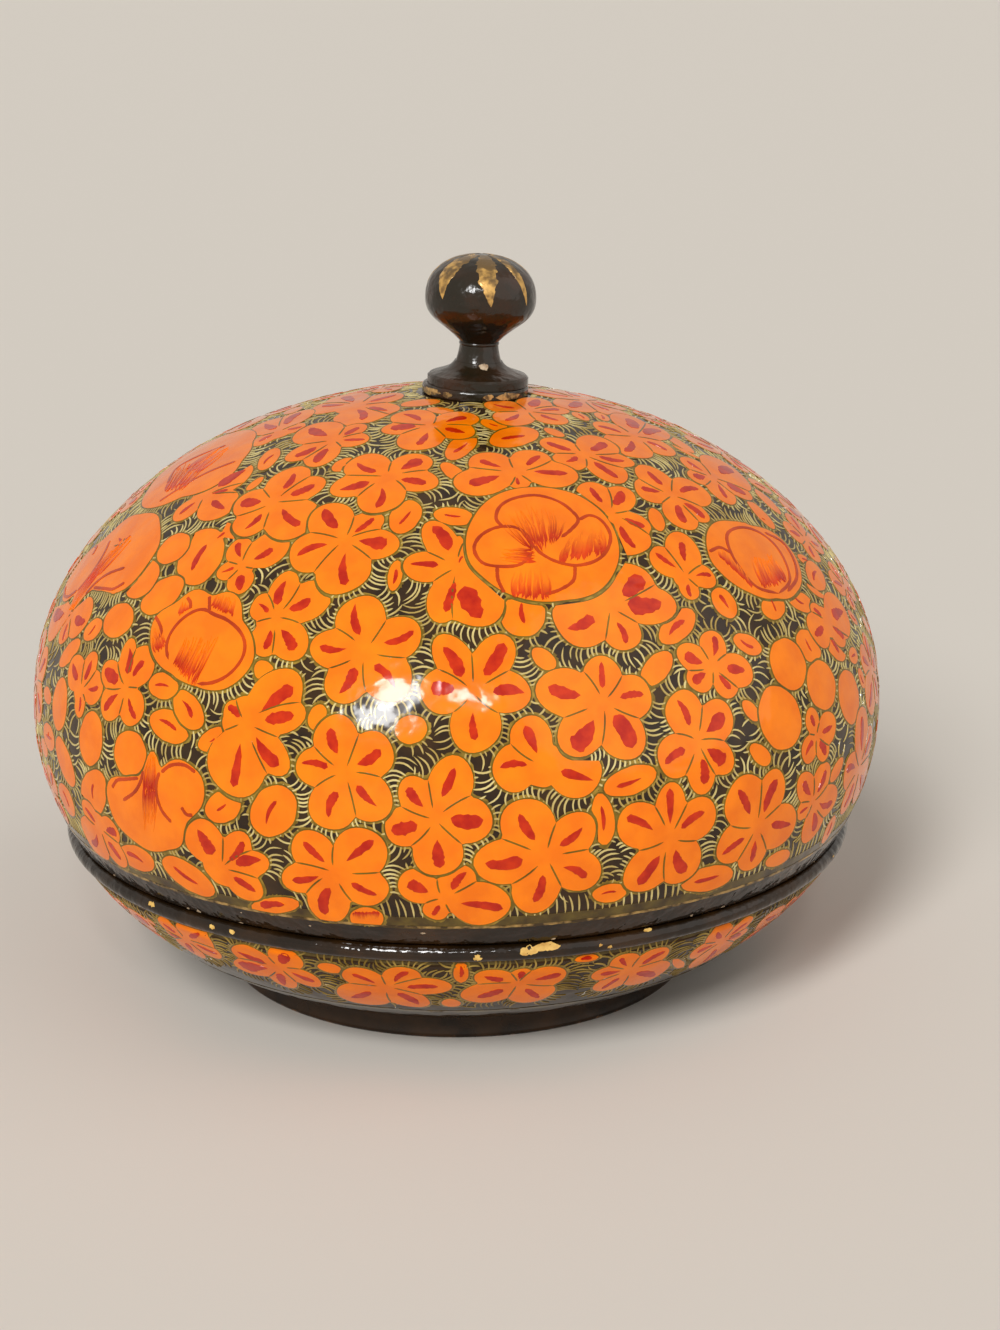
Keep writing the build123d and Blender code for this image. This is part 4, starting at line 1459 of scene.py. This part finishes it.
for name, middle in (("bowl_margin", BAND_TOP), ("bowl_border", BAND_FOOT - BORDER_DROP)):
    painted(name, "base", "painted_bowl", margin_paint,
            *banded(bowl, middle - MARGIN_HALF, middle + MARGIN_HALF, MARGIN_LIFT))

# Rim bead: a half-round bead of gesso and paper glued round the bowl's mouth, black lacquered.  It
# takes the knocks: in a long chip and many small ones the yellow-white gesso shows.
GESSO = colour(226, 188, 104)
GESSO_DEEP = colour(186, 140, 70)
bead_low, bead_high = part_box("base_rim_bead")
BEAD_HUB = (0, 0, (bead_low[2] + bead_high[2]) / 2)
bead = skin_of(("base_rim_bead",), BEAD_HUB, math.radians(-1.06), math.radians(1.06))
dress(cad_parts["base_rim_bead"], black_lacquer)

# (middle, half-length, half-height), places and sizes in the frame
SHOWN_CHIPS = [
    ((529, 951), 9, 4), ((547, 947), 12, 4), ((212, 927), 3, 2), ((232, 932), 3, 2),
    ((648, 930), 4, 2),
]
gesso_paint = varnished("gesso_paint", GESSO_DEEP, GESSO, patch=0.0015, gloss=0.45)
bead_chips = [chip_at(*placed, bead) for placed in SHOWN_CHIPS]
bead_chips += chips_and_glints(20, BEAD_HUB[2], spread=0.0006, size=0.0007, skin=bead)
painted("bead_chips", "base", "black_lacquer", gesso_paint,
        *filled(bead_chips, bead, CHIP_LIFT, 1, 3))

# Locating collar: a strip of pasteboard bent into a ring, black outside and in, rubbed bare along
# its top edge by the lid.
COLLAR_BLACK = colour(40, 31, 24)
COLLAR_WORN = colour(64, 50, 37)
EDGE_WEAR = 0.0008                    # how far below and above its top edge the wear is reckoned
collar_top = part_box("base_locating_collar")[1][2]
collar_paper = varnished("collar_paper", COLLAR_BLACK, COLLAR_WORN, patch=0.006, gloss=0.5)
rub_down(collar_paper, PASTEBOARD_DARK, collar_top - EDGE_WEAR, collar_top + EDGE_WEAR)
dress(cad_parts["base_locating_collar"], collar_paper)

# Foot ring: turned wood under the bowl, lacquered black, and worn at its lower edge, where it
# stands.
FOOT_WOOD = colour(118, 84, 54)
FOOT_WORN_FEW, FOOT_WORN_MOST = 0.0012, -0.0005   # heights above the ground
foot_lacquer = varnished("foot_lacquer", BLACK, BLACK_WORN, patch=0.006, gloss=0.25)
rub_down(foot_lacquer, FOOT_WOOD, FOOT_WORN_FEW, FOOT_WORN_MOST)
dress(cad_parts["foot_ring"], foot_lacquer)
